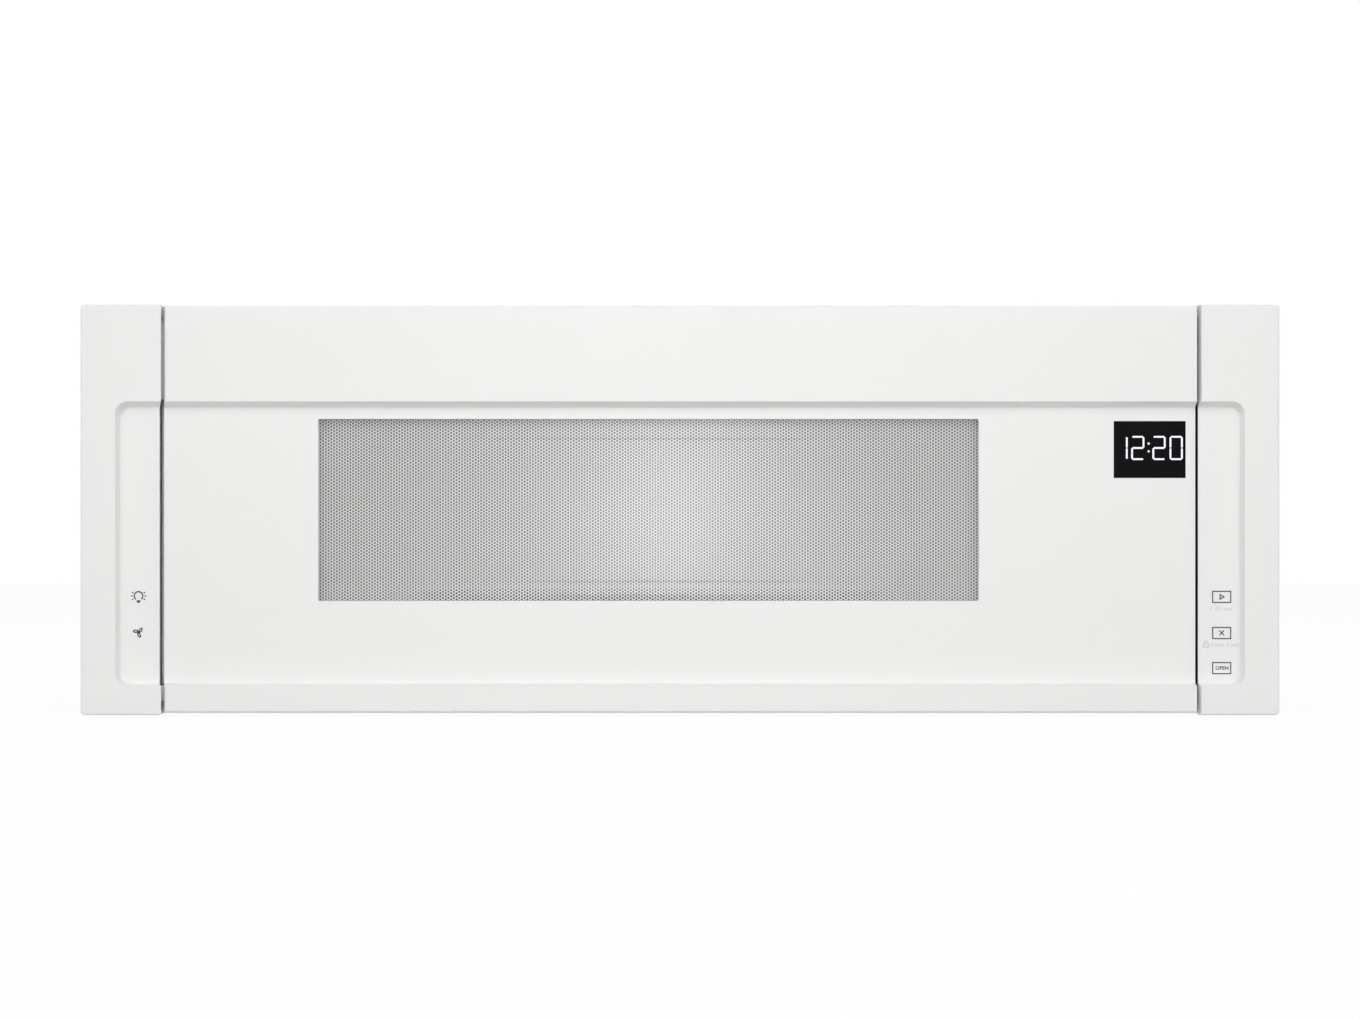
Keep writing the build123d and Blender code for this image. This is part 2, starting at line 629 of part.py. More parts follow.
# Hinge pins: riveted through the arms, running in the bosses of the door
with BuildPart() as hinge_pins:
    for pin_low, pin_high in ((LOWER_ARM_Z, 15.4), (240.2, UPPER_ARM_Z + ARM_T)):
        with BuildSketch(level(pin_low)):
            with Locations((HINGE_X, HINGE_Y)):
                Circle(PIN_R)
        extrude(amount=pin_high - pin_low)
hinge_pins.part.label = "hinge_pins"
export_step(hinge_pins.part, "parts/hinge_pins.step")

# ---------------------------------------------------------------- latch

# Latch hooks: one tall sliding plate in the door with two hooks that catch behind the front plate
PLATE_LOW, PLATE_HIGH = 74.0 + LATCH_LIFT, 186.0 + LATCH_LIFT
with BuildPart() as latch_hooks:
    with BuildSketch(facing_right(HOOK_X - HOOK_T / 2)):
        span(*LATCH_PLATE_Y, PLATE_LOW, PLATE_HIGH, 2.0)
        for latched_z in LATCHED_ARM_Z:
            arm_z = latched_z + LATCH_LIFT
            outline(
                (LATCH_PLATE_Y[1] - 2, arm_z),
                (HOOK_TIP_Y - 11, arm_z),
                (HOOK_TIP_Y - 11, arm_z - HOOK_BARB),
                (HOOK_TIP_Y - 6, arm_z - HOOK_BARB),
                (HOOK_TIP_Y, arm_z + 2),
                (HOOK_TIP_Y, arm_z + HOOK_ARM_H - 3),
                (HOOK_TIP_Y - 4, arm_z + HOOK_ARM_H),
                (LATCH_PLATE_Y[1] - 2, arm_z + HOOK_ARM_H),
            )
        for guide_z in GUIDE_Z:
            with Locations((GUIDE_Y, guide_z + LATCH_LIFT / 2)):
                SlotOverall(14, 5, rotation=90, mode=Mode.SUBTRACT)
    extrude(amount=HOOK_T)
latch_hooks.part.label = "latch_hooks"
export_step(latch_hooks.part, "parts/latch_hooks.step")

# Latch spring: the outer envelope of the small coil that pulls the hooks down
with BuildPart() as latch_spring:
    with BuildSketch(level(SPRING_LOW)):
        with Locations((HOOK_X, GUIDE_Y)):
            Circle(3.0)
            Circle(1.8, mode=Mode.SUBTRACT)
    extrude(amount=PLATE_LOW - 0.5 - SPRING_LOW)
latch_spring.part.label = "latch_spring"
export_step(latch_spring.part, "parts/latch_spring.step")

# Interlock bracket: the moulded guide behind the front plate that carries the door switches
with BuildPart() as interlock_bracket:
    with BuildSketch(facing_front(-150.0)):
        span(283.0, 305.0, 66.0, 200.0, 2.0)
    extrude(amount=-150.0 - (PLATE_Y + SHEET))
    cut_span(facing_front(-153.0), 286.0, 302.0, 68.5, 197.5, 40.0)
    # catches under each hook, then the side rails
    for arm_z in LATCHED_ARM_Z:
        add_span(
            facing_front(HOOK_TIP_Y - 12.5),
            285.0,
            303.0,
            arm_z - 14.0,
            arm_z - 1.5,
            HOOK_TIP_Y - 12.5 - (PLATE_Y + SHEET),
        )
    add_span(facing_front(PLATE_Y + SHEET + 2.0), 277.5, 284.0, 100.0, 120.0, 2.0)
    add_span(facing_front(PLATE_Y + SHEET + 2.0), 304.0, 318.0, 70.0, 90.0, 2.0)
interlock_bracket.part.label = "interlock_bracket"
export_step(interlock_bracket.part, "parts/interlock_bracket.step")

# Interlock switches: three small snap switches on the bracket's side
with BuildPart() as interlock_switches:
    for switch_z in (76.0, 122.0, 178.0):
        with BuildSketch(facing_right(305.2)):
            span(-184.0, -156.0, switch_z, switch_z + 16.0, 1.0)
        extrude(amount=10.2)
        add_span(facing_right(308.0), -156.0, -150.0, switch_z + 5.0, switch_z + 6.0, 5.0)
interlock_switches.part.label = "interlock_switches"
export_step(interlock_switches.part, "parts/interlock_switches.step")

# Door opener: a solenoid under the lower hook, and the plunger that lifts the hook
with BuildPart() as door_opener:
    with BuildSketch(level(69.0)):
        span(287.0, 301.0, -176.0, -156.0, 1.5)
        with Locations((HOOK_X, PLUNGER_Y)):
            Circle(PLUNGER_R + 0.1, mode=Mode.SUBTRACT)
    extrude(amount=12.0)
door_opener.part.label = "door_opener"
export_step(door_opener.part, "parts/door_opener.step")

with BuildPart() as opener_plunger:
    with BuildSketch(level(70.0 + LATCH_LIFT)):
        with Locations((HOOK_X, PLUNGER_Y)):
            Circle(PLUNGER_R)
    extrude(amount=13.0)
    finger_low = 83.0 + LATCH_LIFT
    add_span(level(finger_low), HOOK_X - 4, HOOK_X + 4, -179.0, -160.5, 3.0, 1.0)
    add_span(level(finger_low), HOOK_X - 3, HOOK_X + 3, -179.0, -173.5, 6.0)
opener_plunger.part.label = "opener_plunger"
export_step(opener_plunger.part, "parts/opener_plunger.step")

# ---------------------------------------------------------------- chassis

# Front plate: the flat steel face behind the door, round the cavity's mouth
with BuildPart() as front_plate:
    with BuildSketch(facing_front(PLATE_Y + SHEET)):
        span(-CHASSIS_HALF_W, CHASSIS_HALF_W, 1.2, 258.8, 2.0)
        span(CAVITY_LEFT, CAVITY_RIGHT, CAVITY_LOW, CAVITY_HIGH, CAVITY_BEND, mode=Mode.SUBTRACT)
        for arm_z in LATCHED_ARM_Z:
            span(HOOK_X - 4, HOOK_X + 8, arm_z - 1.0, arm_z + 16.0, 1.0, mode=Mode.SUBTRACT)
        span(348.0, 362.0, 207.0, 223.0, 2.0, mode=Mode.SUBTRACT)
    extrude(amount=SHEET)
front_plate.part.label = "front_plate"
export_step(front_plate.part, "parts/front_plate.step")

# Cavity wrap: ceiling and both side walls, bent from one sheet
with BuildPart() as cavity_wrap:
    with BuildSketch(facing_front(CAVITY_BACK + SHEET)):
        span(CAVITY_LEFT - SHEET, CAVITY_RIGHT + SHEET, CAVITY_LOW, CAVITY_HIGH + SHEET)
    extrude(amount=CAVITY_BACK - PLATE_Y)
    fillet(cavity_wrap.edges().filter_by(Axis.Y).group_by(Axis.Z)[-1], CAVITY_BEND + SHEET)
    with BuildSketch(facing_front(CAVITY_BACK + SHEET)):
        span(CAVITY_LEFT, CAVITY_RIGHT, CAVITY_LOW - 20, CAVITY_HIGH, CAVITY_BEND)
    extrude(amount=CAVITY_BACK - PLATE_Y, mode=Mode.SUBTRACT)
    # waveguide mouth, lamp perforations and steam outlet perforations
    cut_span(facing_right(CAVITY_RIGHT - 2), -10.0, 70.0, 130.0, 180.0, 6.0, 3.0)
    with BuildSketch(facing_right(CAVITY_RIGHT - 2)):
        with Locations((BULB_Y, BULB_Z)):
            with GridLocations(VENT_PITCH, VENT_PITCH, 4, 5):
                RegularPolygon(VENT_R, 6)
    extrude(amount=6.0, mode=Mode.SUBTRACT)
    with BuildSketch(facing_right(CAVITY_LEFT - 4)):
        with Locations((STEAM_Y, STEAM_Z)):
            with GridLocations(VENT_PITCH, VENT_PITCH, 8, 4):
                RegularPolygon(VENT_R, 6)
    extrude(amount=6.0, mode=Mode.SUBTRACT)
cavity_wrap.part.label = "cavity_wrap"
export_step(cavity_wrap.part, "parts/cavity_wrap.step")

# Cavity floor: pressed down into a round track for the turntable
with BuildPart() as cavity_floor:
    with BuildSketch(level(CAVITY_LOW - SHEET)):
        span(CAVITY_LEFT - SHEET, CAVITY_RIGHT + SHEET, PLATE_Y + SHEET, CAVITY_BACK + SHEET)
    extrude(amount=SHEET)
    with BuildSketch(level(CAVITY_LOW)):
        with Locations((TABLE_X, TABLE_Y)):
            Circle(TRACK_R + 20.0)
    extrude(amount=-(CAVITY_LOW - TRACK_FLOOR + SHEET), taper=12)
    with BuildSketch(level(CAVITY_LOW)):
        with Locations((TABLE_X, TABLE_Y)):
            Circle(TRACK_R + 19.0)
    extrude(amount=-(CAVITY_LOW - TRACK_FLOOR), taper=12, mode=Mode.SUBTRACT)
    with BuildSketch(level(TRACK_FLOOR - 2)):
        with Locations((TABLE_X, TABLE_Y)):
            Circle(8.0)
    extrude(amount=4.0, mode=Mode.SUBTRACT)
cavity_floor.part.label = "cavity_floor"
export_step(cavity_floor.part, "parts/cavity_floor.step")

# Cavity back, with a shallow pressed panel for stiffness
with BuildPart() as cavity_back:
    with BuildSketch(facing_front(CAVITY_BACK + SHEET)):
        span(CAVITY_LEFT + 0.1, CAVITY_RIGHT - 0.1, CAVITY_LOW - 20, CAVITY_HIGH - 0.1, CAVITY_BEND - 0.1)
        span(CAVITY_LEFT - 2, CAVITY_RIGHT + 2, CAVITY_LOW - 21, CAVITY_LOW, mode=Mode.SUBTRACT)
    extrude(amount=SHEET)
    with BuildSketch(facing_front(CAVITY_BACK)):
        span(CAVITY_LEFT + 40, CAVITY_RIGHT - 40, CAVITY_LOW + 30, CAVITY_HIGH - 30, 12.0)
    extrude(amount=2.0, taper=30)
    with BuildSketch(facing_front(CAVITY_BACK + SHEET)):
        span(CAVITY_LEFT + 41, CAVITY_RIGHT - 41, CAVITY_LOW + 31, CAVITY_HIGH - 31, 11.0)
    extrude(amount=2.0, taper=30, mode=Mode.SUBTRACT)
cavity_back.part.label = "cavity_back"
export_step(cavity_back.part, "parts/cavity_back.step")

# Outer cover: top and both sides, bent from one painted sheet
GRILLE_HALF_W = 300.0
GRILLE_FRONT, GRILLE_BACK = -182.0, -112.0
CORD_X, CORD_Y, CORD_R = 300.0, 130.0, 11.0
with BuildPart() as outer_cover:
    with BuildSketch(facing_front(CHASSIS_BACK - SHEET)):
        span(-HALF_W + 0.1, HALF_W - 0.1, 2.0, COVER_TOP)
    extrude(amount=CHASSIS_BACK - SHEET - PLATE_Y)
    fillet(outer_cover.edges().filter_by(Axis.Y).group_by(Axis.Z)[-1], 3.0)
    with BuildSketch(facing_front(CHASSIS_BACK - SHEET)):
        span(-CHASSIS_HALF_W, CHASSIS_HALF_W, -10.0, COVER_TOP - SHEET, 2.0)
    extrude(amount=CHASSIS_BACK - SHEET - PLATE_Y, mode=Mode.SUBTRACT)
    cut_span(level(COVER_TOP - 2), -GRILLE_HALF_W, GRILLE_HALF_W, GRILLE_FRONT, GRILLE_BACK, 5.0, 3.0)
    with BuildSketch(level(COVER_TOP - 2)):
        with Locations((-NUT_X, NUT_Y), (NUT_X, NUT_Y)):
            Circle(5.0)
        with Locations((CORD_X, CORD_Y)):
            Circle(CORD_R)
    extrude(amount=5.0, mode=Mode.SUBTRACT)
    # pressed outline of the top exhaust knock-out
    with BuildSketch(level(COVER_TOP - 0.4)):
        span(-127.0, 127.0, 140.0, 220.0, 3.0)
        span(-125.5, 125.5, 141.5, 218.5, 2.0, mode=Mode.SUBTRACT)
    extrude(amount=2.0, mode=Mode.SUBTRACT)
    # side vents beside the magnetron
    for slot_row in range(5):
        for side in (-1, 1):
            cut_span(
                facing_right(side * (HALF_W - 2.5)),
                110.0,
                160.0,
                118.0 + slot_row * 14.0,
                122.0 + slot_row * 14.0,
                side * 5.0,
                1.9,
            )
outer_cover.part.label = "outer_cover"
export_step(outer_cover.part, "parts/outer_cover.step")

# Base pan: the underside, with two framed filter openings and two lamp openings
LAMP_X = (250.0, 330.0)
LAMP_Y = (-165.0, -118.0)
with BuildPart() as base_pan:
    with BuildSketch(level(0)):
        span(-378.8, 378.8, PLATE_Y + SHEET, CHASSIS_BACK - SHEET, 2.0)
    extrude(amount=14.0)
    with BuildSketch(level(SHEET)):
        span(-377.8, 377.8, PLATE_Y + 2 * SHEET, CHASSIS_BACK - 2 * SHEET, 1.0)
    extrude(amount=14.0, mode=Mode.SUBTRACT)
    for side in (-1, 1):
        filter_x = sorted((side * (FILTER_INNER - FILTER_GAP), side * (FILTER_OUTER + FILTER_GAP)))
        filter_y = (FILTER_FRONT - FILTER_GAP, FILTER_BACK + FILTER_GAP)
        with BuildSketch(level(0)):
            span(filter_x[0] - 1.2, filter_x[1] + 1.2, filter_y[0] - 1.2, filter_y[1] + 1.2)
        extrude(amount=12.0)
        cut_span(level(-1), *filter_x, *filter_y, 12.0)
        cut_span(
            level(5),
            filter_x[0] + 6,
            filter_x[1] - 6,
            filter_y[0] + 6,
            filter_y[1] - 6,
            12.0,
            2.0,
        )
        lamp_x = sorted((side * LAMP_X[0], side * LAMP_X[1]))
        cut_span(level(-1), *lamp_x, *LAMP_Y, 4.0, 3.0)
    # beads pressed up along the pan for stiffness
    with BuildSketch(level(0)):
        for bead_x in (-130, -90, 90, 130):
            with Locations((bead_x, 20)):
                SlotOverall(230, 9, rotation=90)
    extrude(amount=2.4)
    with BuildSketch(level(-1)):
        for bead_x in (-130, -90, 90, 130):
            with Locations((bead_x, 20)):
                SlotOverall(228, 7, rotation=90)
    extrude(amount=2.4, mode=Mode.SUBTRACT)
    # dimples that sink the heads of the screws below the pan
    with BuildSketch(level(0)):
        with Locations(*DIMPLES):
            Circle(5.6)
    extrude(amount=2.2, taper=20)
    with BuildSketch(level(0)):
        with Locations(*DIMPLES):
            Circle(4.6)
    extrude(amount=1.2, taper=20, mode=Mode.SUBTRACT)
    # notches in the rear edge for the tabs of the wall plate
    for tab_x in TAB_X:
        cut_span(level(4.0), tab_x - 17, tab_x + 17, CHASSIS_BACK - 5, CHASSIS_BACK + 1, 15.0)
    # hatch of air slots at the back, under the blower
    for slot_column in range(12):
        slot_x = -99.0 + slot_column * 18.0
        cut_span(level(-1), slot_x - 3, slot_x + 3, 175.0, 215.0, 4.0, 2.9)
base_pan.part.label = "base_pan"
export_step(base_pan.part, "parts/base_pan.step")

# Rear panel, with slots for the tabs of the wall plate and a rectangular exhaust knock-out
with BuildPart() as rear_panel:
    with BuildSketch(facing_front(CHASSIS_BACK)):
        span(-HALF_W + 0.1, HALF_W - 0.1, 0.0, COVER_TOP, 2.0)
        for tab_x in TAB_X:
            span(tab_x - 17, tab_x + 17, 5.0, 17.5, mode=Mode.SUBTRACT)
    extrude(amount=SHEET)
    with BuildSketch(facing_front(CHASSIS_BACK)):
        with Locations((0, 120)):
            RectangleRounded(520, 60, 8)
    extrude(amount=-2.0, taper=30)
    with BuildSketch(facing_front(CHASSIS_BACK - SHEET)):
        with Locations((0, 120)):
            RectangleRounded(518, 58, 7)
    extrude(amount=-2.0, taper=30, mode=Mode.SUBTRACT)
    with BuildSketch(facing_front(CHASSIS_BACK + 0.1)):
        span(-127.0, 127.0, 166.0, 248.5, 3.0)
        span(-125.5, 125.5, 167.5, 247.0, 2.0, mode=Mode.SUBTRACT)
    extrude(amount=0.5, mode=Mode.SUBTRACT)
rear_panel.part.label = "rear_panel"
export_step(rear_panel.part, "parts/rear_panel.step")

# Wall mounting plate: flat against the wall, with a lower shelf whose tabs carry the oven
with BuildPart() as mounting_plate:
    with BuildSketch(facing_front(WALL_Y)):
        span(-290.0, 290.0, 6.0, 190.0, 4.0)
        with Locations((-LAG_X, LAG_Z[0]), (LAG_X, LAG_Z[0]), (-LAG_X, LAG_Z[1]), (LAG_X, LAG_Z[1])):
            Circle(LAG_R, mode=Mode.SUBTRACT)
        with Locations((0, 125)):
            RectangleRounded(250, 56, 10, mode=Mode.SUBTRACT)
        # obround slots for screws that miss the studs
        with Locations((0, 44)):
            with GridLocations(110, 0, 5, 1):
                RectangleRounded(34, 9, 4.4, mode=Mode.SUBTRACT)
        with Locations((0, 172)):
            with GridLocations(110, 0, 3, 1):
                RectangleRounded(34, 9, 4.4, mode=Mode.SUBTRACT)
    extrude(amount=WALL_Y - PLATE_FRONT_Y)
    add_span(facing_front(PLATE_FRONT_Y), -285.0, 285.0, 6.0, 7.5, PLATE_FRONT_Y - CHASSIS_BACK)
    add_span(facing_front(PLATE_FRONT_Y), -285.0, 285.0, 188.5, 190.0, PLATE_FRONT_Y - CHASSIS_BACK)
    for tab_x in TAB_X:
        add_span(facing_front(CHASSIS_BACK), tab_x - 14, tab_x + 14, 6.0, 7.5, 4.0)
        add_span(facing_front(CHASSIS_BACK - 2.5), tab_x - 14, tab_x + 14, 6.0, 16.0, 1.5)
mounting_plate.part.label = "mounting_plate"
export_step(mounting_plate.part, "parts/mounting_plate.step")

# Cabinet bolt plates: two thick plates under the cover, tapped for the hanging bolts
with BuildPart() as cabinet_bolt_plates:
    with BuildSketch(level(COVER_TOP - SHEET)):
        with Locations((-NUT_X, NUT_Y), (NUT_X, NUT_Y)):
            RectangleRounded(70, 30, 4)
            Circle(NUT_R, mode=Mode.SUBTRACT)
    extrude(amount=-4.0)
cabinet_bolt_plates.part.label = "cabinet_bolt_plates"
export_step(cabinet_bolt_plates.part, "parts/cabinet_bolt_plates.step")

# Cord grommet: the bush in the cover that the supply cord leaves through
with BuildPart() as cord_grommet:
    with BuildSketch(Plane.XZ):
        outline(
            (8.0, -6.5),
            (CORD_R - 0.1, -6.5),
            (CORD_R + 2.0, -3.0),
            (CORD_R - 0.1, -1.1),
            (CORD_R - 0.1, 0.05),
            (CORD_R + 2.5, 0.05),
            (CORD_R + 2.5, 0.35),
            (8.0, 0.35),
        )
    revolve(axis=Axis.Z)
cord_grommet = cord_grommet.part.moved(Location((CORD_X, CORD_Y, COVER_TOP)))
cord_grommet.label = "cord_grommet"
export_step(cord_grommet, "parts/cord_grommet.step")

# ---------------------------------------------------------------- hood: grille, filters, blower, lamps

# Vent grille: slanted vanes in a moulded frame, level with the top of the cover
VANE_PITCH = 10.5
with BuildPart() as vent_grille:
    with BuildSketch(level(COVER_TOP - 8.0)):
        span(-GRILLE_HALF_W + 0.4, GRILLE_HALF_W - 0.4, GRILLE_FRONT + 0.4, GRILLE_BACK - 0.4, 2.6)
        span(-GRILLE_HALF_W + 4, GRILLE_HALF_W - 4, GRILLE_FRONT + 4, GRILLE_BACK - 4, mode=Mode.SUBTRACT)
    extrude(amount=8.0)
    with BuildSketch(facing_right(-GRILLE_HALF_W + 3)):
        for vane in range(6):
            vane_y = GRILLE_FRONT + 5.0 + vane * VANE_PITCH
            outline(
                (vane_y, COVER_TOP - 0.4),
                (vane_y + 1.8, COVER_TOP - 0.4),
                (vane_y + 8.8, COVER_TOP - 7.4),
                (vane_y + 7.0, COVER_TOP - 7.4),
            )
    extrude(amount=2 * GRILLE_HALF_W - 6)
    with BuildSketch(level(COVER_TOP - 7.6)):
        for rib_x in (-200, -100, 0, 100, 200):
            span(rib_x - 1.5, rib_x + 1.5, GRILLE_FRONT + 2, GRILLE_BACK - 2)
    extrude(amount=7.0)
vent_grille.part.label = "vent_grille"
export_step(vent_grille.part, "parts/vent_grille.step")

# Charcoal filter: a pleated pad in a tray, behind the grille in the air path
with BuildPart() as charcoal_filter:
    with BuildSketch(facing_right(-150.0)):
        span(-106.0, -92.0, CAVITY_HIGH + 3.0, 256.0)
        for pleat in range(4):
            pleat_z = 220.0 + pleat * 9.0
            with BuildLine():
                Polyline((-106.0, pleat_z), (-101.0, pleat_z + 4.0), (-106.0, pleat_z + 8.0), close=True)
            make_face(mode=Mode.SUBTRACT)
    extrude(amount=300.0)
charcoal_filter.part.label = "charcoal_filter"
export_step(charcoal_filter.part, "parts/charcoal_filter.step")

# Grease filters: an aluminium frame round a thin mesh pad, with a pull tab at the inner edge
for filter_name, side in (("grease_filter_left", -1), ("grease_filter_right", 1)):
    near, far = side * FILTER_INNER, side * FILTER_OUTER
    low_x, high_x = min(near, far), max(near, far)
    with BuildPart() as grease_filter:
        with BuildSketch(level(FILTER_LOW)):
            span(low_x, high_x, FILTER_FRONT, FILTER_BACK, 3.0)
            span(
                low_x + FILTER_FRAME,
                high_x - FILTER_FRAME,
                FILTER_FRONT + FILTER_FRAME,
                FILTER_BACK - FILTER_FRAME,
                mode=Mode.SUBTRACT,
            )
        extrude(amount=FILTER_T)
        fillet(grease_filter.faces().sort_by(Axis.Z)[0].outer_wire().edges(), FILTER_ROLL)
        add_span(level(FILTER_LOW + 3.5), low_x + 8, high_x - 8, FILTER_FRONT + 8, FILTER_BACK - 8, 1.2)
        tab_x = side * (FILTER_INNER + 4.5)
        add_span(level(FILTER_LOW - 1.0), tab_x - 3, tab_x + 3, 25.0, 45.0, 1.2, 2.0)
    grease_filter.part.label = filter_name
    export_step(grease_filter.part, f"parts/{filter_name}.step")

# Cooktop lamps: light boards above the lenses, and the lenses themselves
with BuildPart() as cooktop_lamps:
    for side in (-1, 1):
        centre_x = side * (LAMP_X[0] + LAMP_X[1]) / 2
        add_span(level(9.0), centre_x - 34, centre_x + 34, LAMP_Y[0] + 6, LAMP_Y[1] - 6, 1.6, 2.0)
        with BuildSketch(level(9.0)):
            with Locations((centre_x, sum(LAMP_Y) / 2)):
                with GridLocations(22, 0, 3, 1):
                    Rectangle(5, 5)
        extrude(amount=-1.2)
cooktop_lamps.part.label = "cooktop_lamps"
export_step(cooktop_lamps.part, "parts/cooktop_lamps.step")

with BuildPart() as light_lenses:
    for side in (-1, 1):
        low_x, high_x = sorted((side * LAMP_X[0], side * LAMP_X[1]))
        add_span(level(0.2), low_x + 0.3, high_x - 0.3, LAMP_Y[0] + 0.3, LAMP_Y[1] - 0.3, 1.6, 2.7)
        add_span(level(1.05), low_x - 4, high_x + 4, LAMP_Y[0] - 4, LAMP_Y[1] + 4, 1.5, 3.0)
light_lenses.part.label = "light_lenses"
export_step(light_lenses.part, "parts/light_lenses.step")


def scroll_profile(grow):
    """Side view of the scroll: round about the wheel, with its mouth pointing to the front."""
    with Locations((BLOWER_Y, BLOWER_Z)):
        Circle(SCROLL_R - 1.5 + grow)
    span(112.0, BLOWER_Y, BLOWER_Z + 3.5 - grow, BLOWER_Z + SCROLL_R - 1.5 + grow)


# Blower housing: two scrolls either side of the motor, mouths over the top of the cavity
with BuildPart() as blower_housing:
    for side in (-1, 1):
        scroll_start = min(side * SCROLL_INNER, side * SCROLL_OUTER)
        with BuildSketch(facing_right(scroll_start)):
            scroll_profile(1.5)
        extrude(amount=SCROLL_OUTER - SCROLL_INNER)
        with BuildSketch(facing_right(scroll_start + 1.5)):
            scroll_profile(0.0)
            span(100.0, 130.0, BLOWER_Z + 3.5, BLOWER_Z + SCROLL_R - 1.5)
        extrude(amount=SCROLL_OUTER - SCROLL_INNER - 3.0, mode=Mode.SUBTRACT)
        with BuildSketch(facing_right(scroll_start - 1)):
            with Locations((BLOWER_Y, BLOWER_Z)):
                Circle(WHEEL_IN_R + 1.0)
        extrude(amount=SCROLL_OUTER - SCROLL_INNER + 2, mode=Mode.SUBTRACT)
    # bridge that ties the scrolls together under the motor
    add_span(level(BLOWER_Z - SCROLL_R - 1.5), -60.0, 60.0, BLOWER_Y - 14, BLOWER_Y + 14, 2.0)
    add_span(level(BLOWER_Z - SCROLL_R - 1.5), -50.5, -46.0, BLOWER_Y - 14, BLOWER_Y + 14, 14.0)
    add_span(level(BLOWER_Z - SCROLL_R - 1.5), 46.0, 50.5, BLOWER_Y - 14, BLOWER_Y + 14, 14.0)
blower_housing.part.label = "blower_housing"
export_step(blower_housing.part, "parts/blower_housing.step")

# Blower motor: a round can between the scrolls on a saddle foot
with BuildPart() as blower_motor:
    with BuildSketch(facing_right(-38.0)):
        with Locations((BLOWER_Y, BLOWER_Z)):
            Circle(31.0)
    extrude(amount=76.0)
    chamfer(blower_motor.edges().filter_by(GeomType.CIRCLE), 3.0)
    with BuildSketch(facing_right(-44.0)):
        with Locations((BLOWER_Y, BLOWER_Z)):
            Circle(12.0)
    extrude(amount=88.0)
    add_span(level(BLOWER_Z - SCROLL_R + 0.5), -26, 26, BLOWER_Y - 12, BLOWER_Y + 12, 12.0)
    with BuildSketch(facing_right(-60.0)):
        with Locations((BLOWER_Y, BLOWER_Z)):
            Circle(SHAFT_R + 0.06)
    extrude(amount=120.0, mode=Mode.SUBTRACT)
blower_motor.part.label = "blower_motor"
export_step(blower_motor.part, "parts/blower_motor.step")

# Blower wheels: forward-curved blades between two rings, on a hub web
with BuildPart() as blower_wheels:
    for side in (-1, 1):
        wheel_start = min(side * (SCROLL_INNER + 8), side * (SCROLL_INNER + 8 + WHEEL_LENGTH))
        with BuildSketch(facing_right(wheel_start)):
            with Locations((BLOWER_Y, BLOWER_Z)):
                Circle(WHEEL_R)
                Circle(WHEEL_IN_R, mode=Mode.SUBTRACT)
        extrude(amount=2.0)
        with BuildSketch(facing_right(wheel_start + WHEEL_LENGTH - 2.0)):
            with Locations((BLOWER_Y, BLOWER_Z)):
                Circle(WHEEL_R)
                Circle(WHEEL_IN_R, mode=Mode.SUBTRACT)
        extrude(amount=2.0)
        with BuildSketch(facing_right(wheel_start + WHEEL_LENGTH / 2 - 1.5)):
            with Locations((BLOWER_Y, BLOWER_Z)):
                Circle(WHEEL_R - 0.5)
                Circle(SHAFT_R, mode=Mode.SUBTRACT)
        extrude(amount=3.0)
        with BuildSketch(facing_right(wheel_start + WHEEL_LENGTH / 2 - 9)):
            with Locations((BLOWER_Y, BLOWER_Z)):
                Circle(8.0)
                Circle(SHAFT_R, mode=Mode.SUBTRACT)
        extrude(amount=18.0)
        with BuildSketch(facing_right(wheel_start + 1.0)):
            with Locations((BLOWER_Y, BLOWER_Z)):
                with PolarLocations(0, BLADES):
                    outline(
                        (WHEEL_IN_R + 0.3, 0.0),
                        (29.3, 1.0),
                        (WHEEL_R - 0.9, 4.0),
                        (WHEEL_R - 1.3, 4.8),
                        (28.7, 1.8),
                        (WHEEL_IN_R + 0.3, 0.8),
                    )
        extrude(amount=WHEEL_LENGTH - 2.0)
blower_wheels.part.label = "blower_wheels"
export_step(blower_wheels.part, "parts/blower_wheels.step")

with BuildPart() as blower_shaft:
    with BuildSketch(facing_right(-SCROLL_OUTER + 30)):
        with Locations((BLOWER_Y, BLOWER_Z)):
            Circle(SHAFT_R)
    extrude(amount=2 * (SCROLL_OUTER - 30))
blower_shaft.part.label = "blower_shaft"
export_step(blower_shaft.part, "parts/blower_shaft.step")

# ---------------------------------------------------------------- turntable

# Turntable motor: a flat can under the cavity floor, hung from two ears
with BuildPart() as turntable_motor:
    with BuildSketch(level(24.0)):
        with Locations((TABLE_X, TABLE_Y)):
            Circle(25.0)
    extrude(amount=18.0)
    chamfer(turntable_motor.edges().filter_by(GeomType.CIRCLE), 1.5)
    with BuildSketch(level(43.0)):
        with Locations((TABLE_X, TABLE_Y)):
            SlotOverall(72, 12)
            with Locations((-29, 0), (29, 0)):
                RegularPolygon(2.2, 8, mode=Mode.SUBTRACT)
    extrude(amount=-1.2)
    with BuildSketch(level(28.0)):
        with Locations((TABLE_X, TABLE_Y)):
            Circle(3.06)
    extrude(amount=20.0, mode=Mode.SUBTRACT)
turntable_motor.part.label = "turntable_motor"
export_step(turntable_motor.part, "parts/turntable_motor.step")

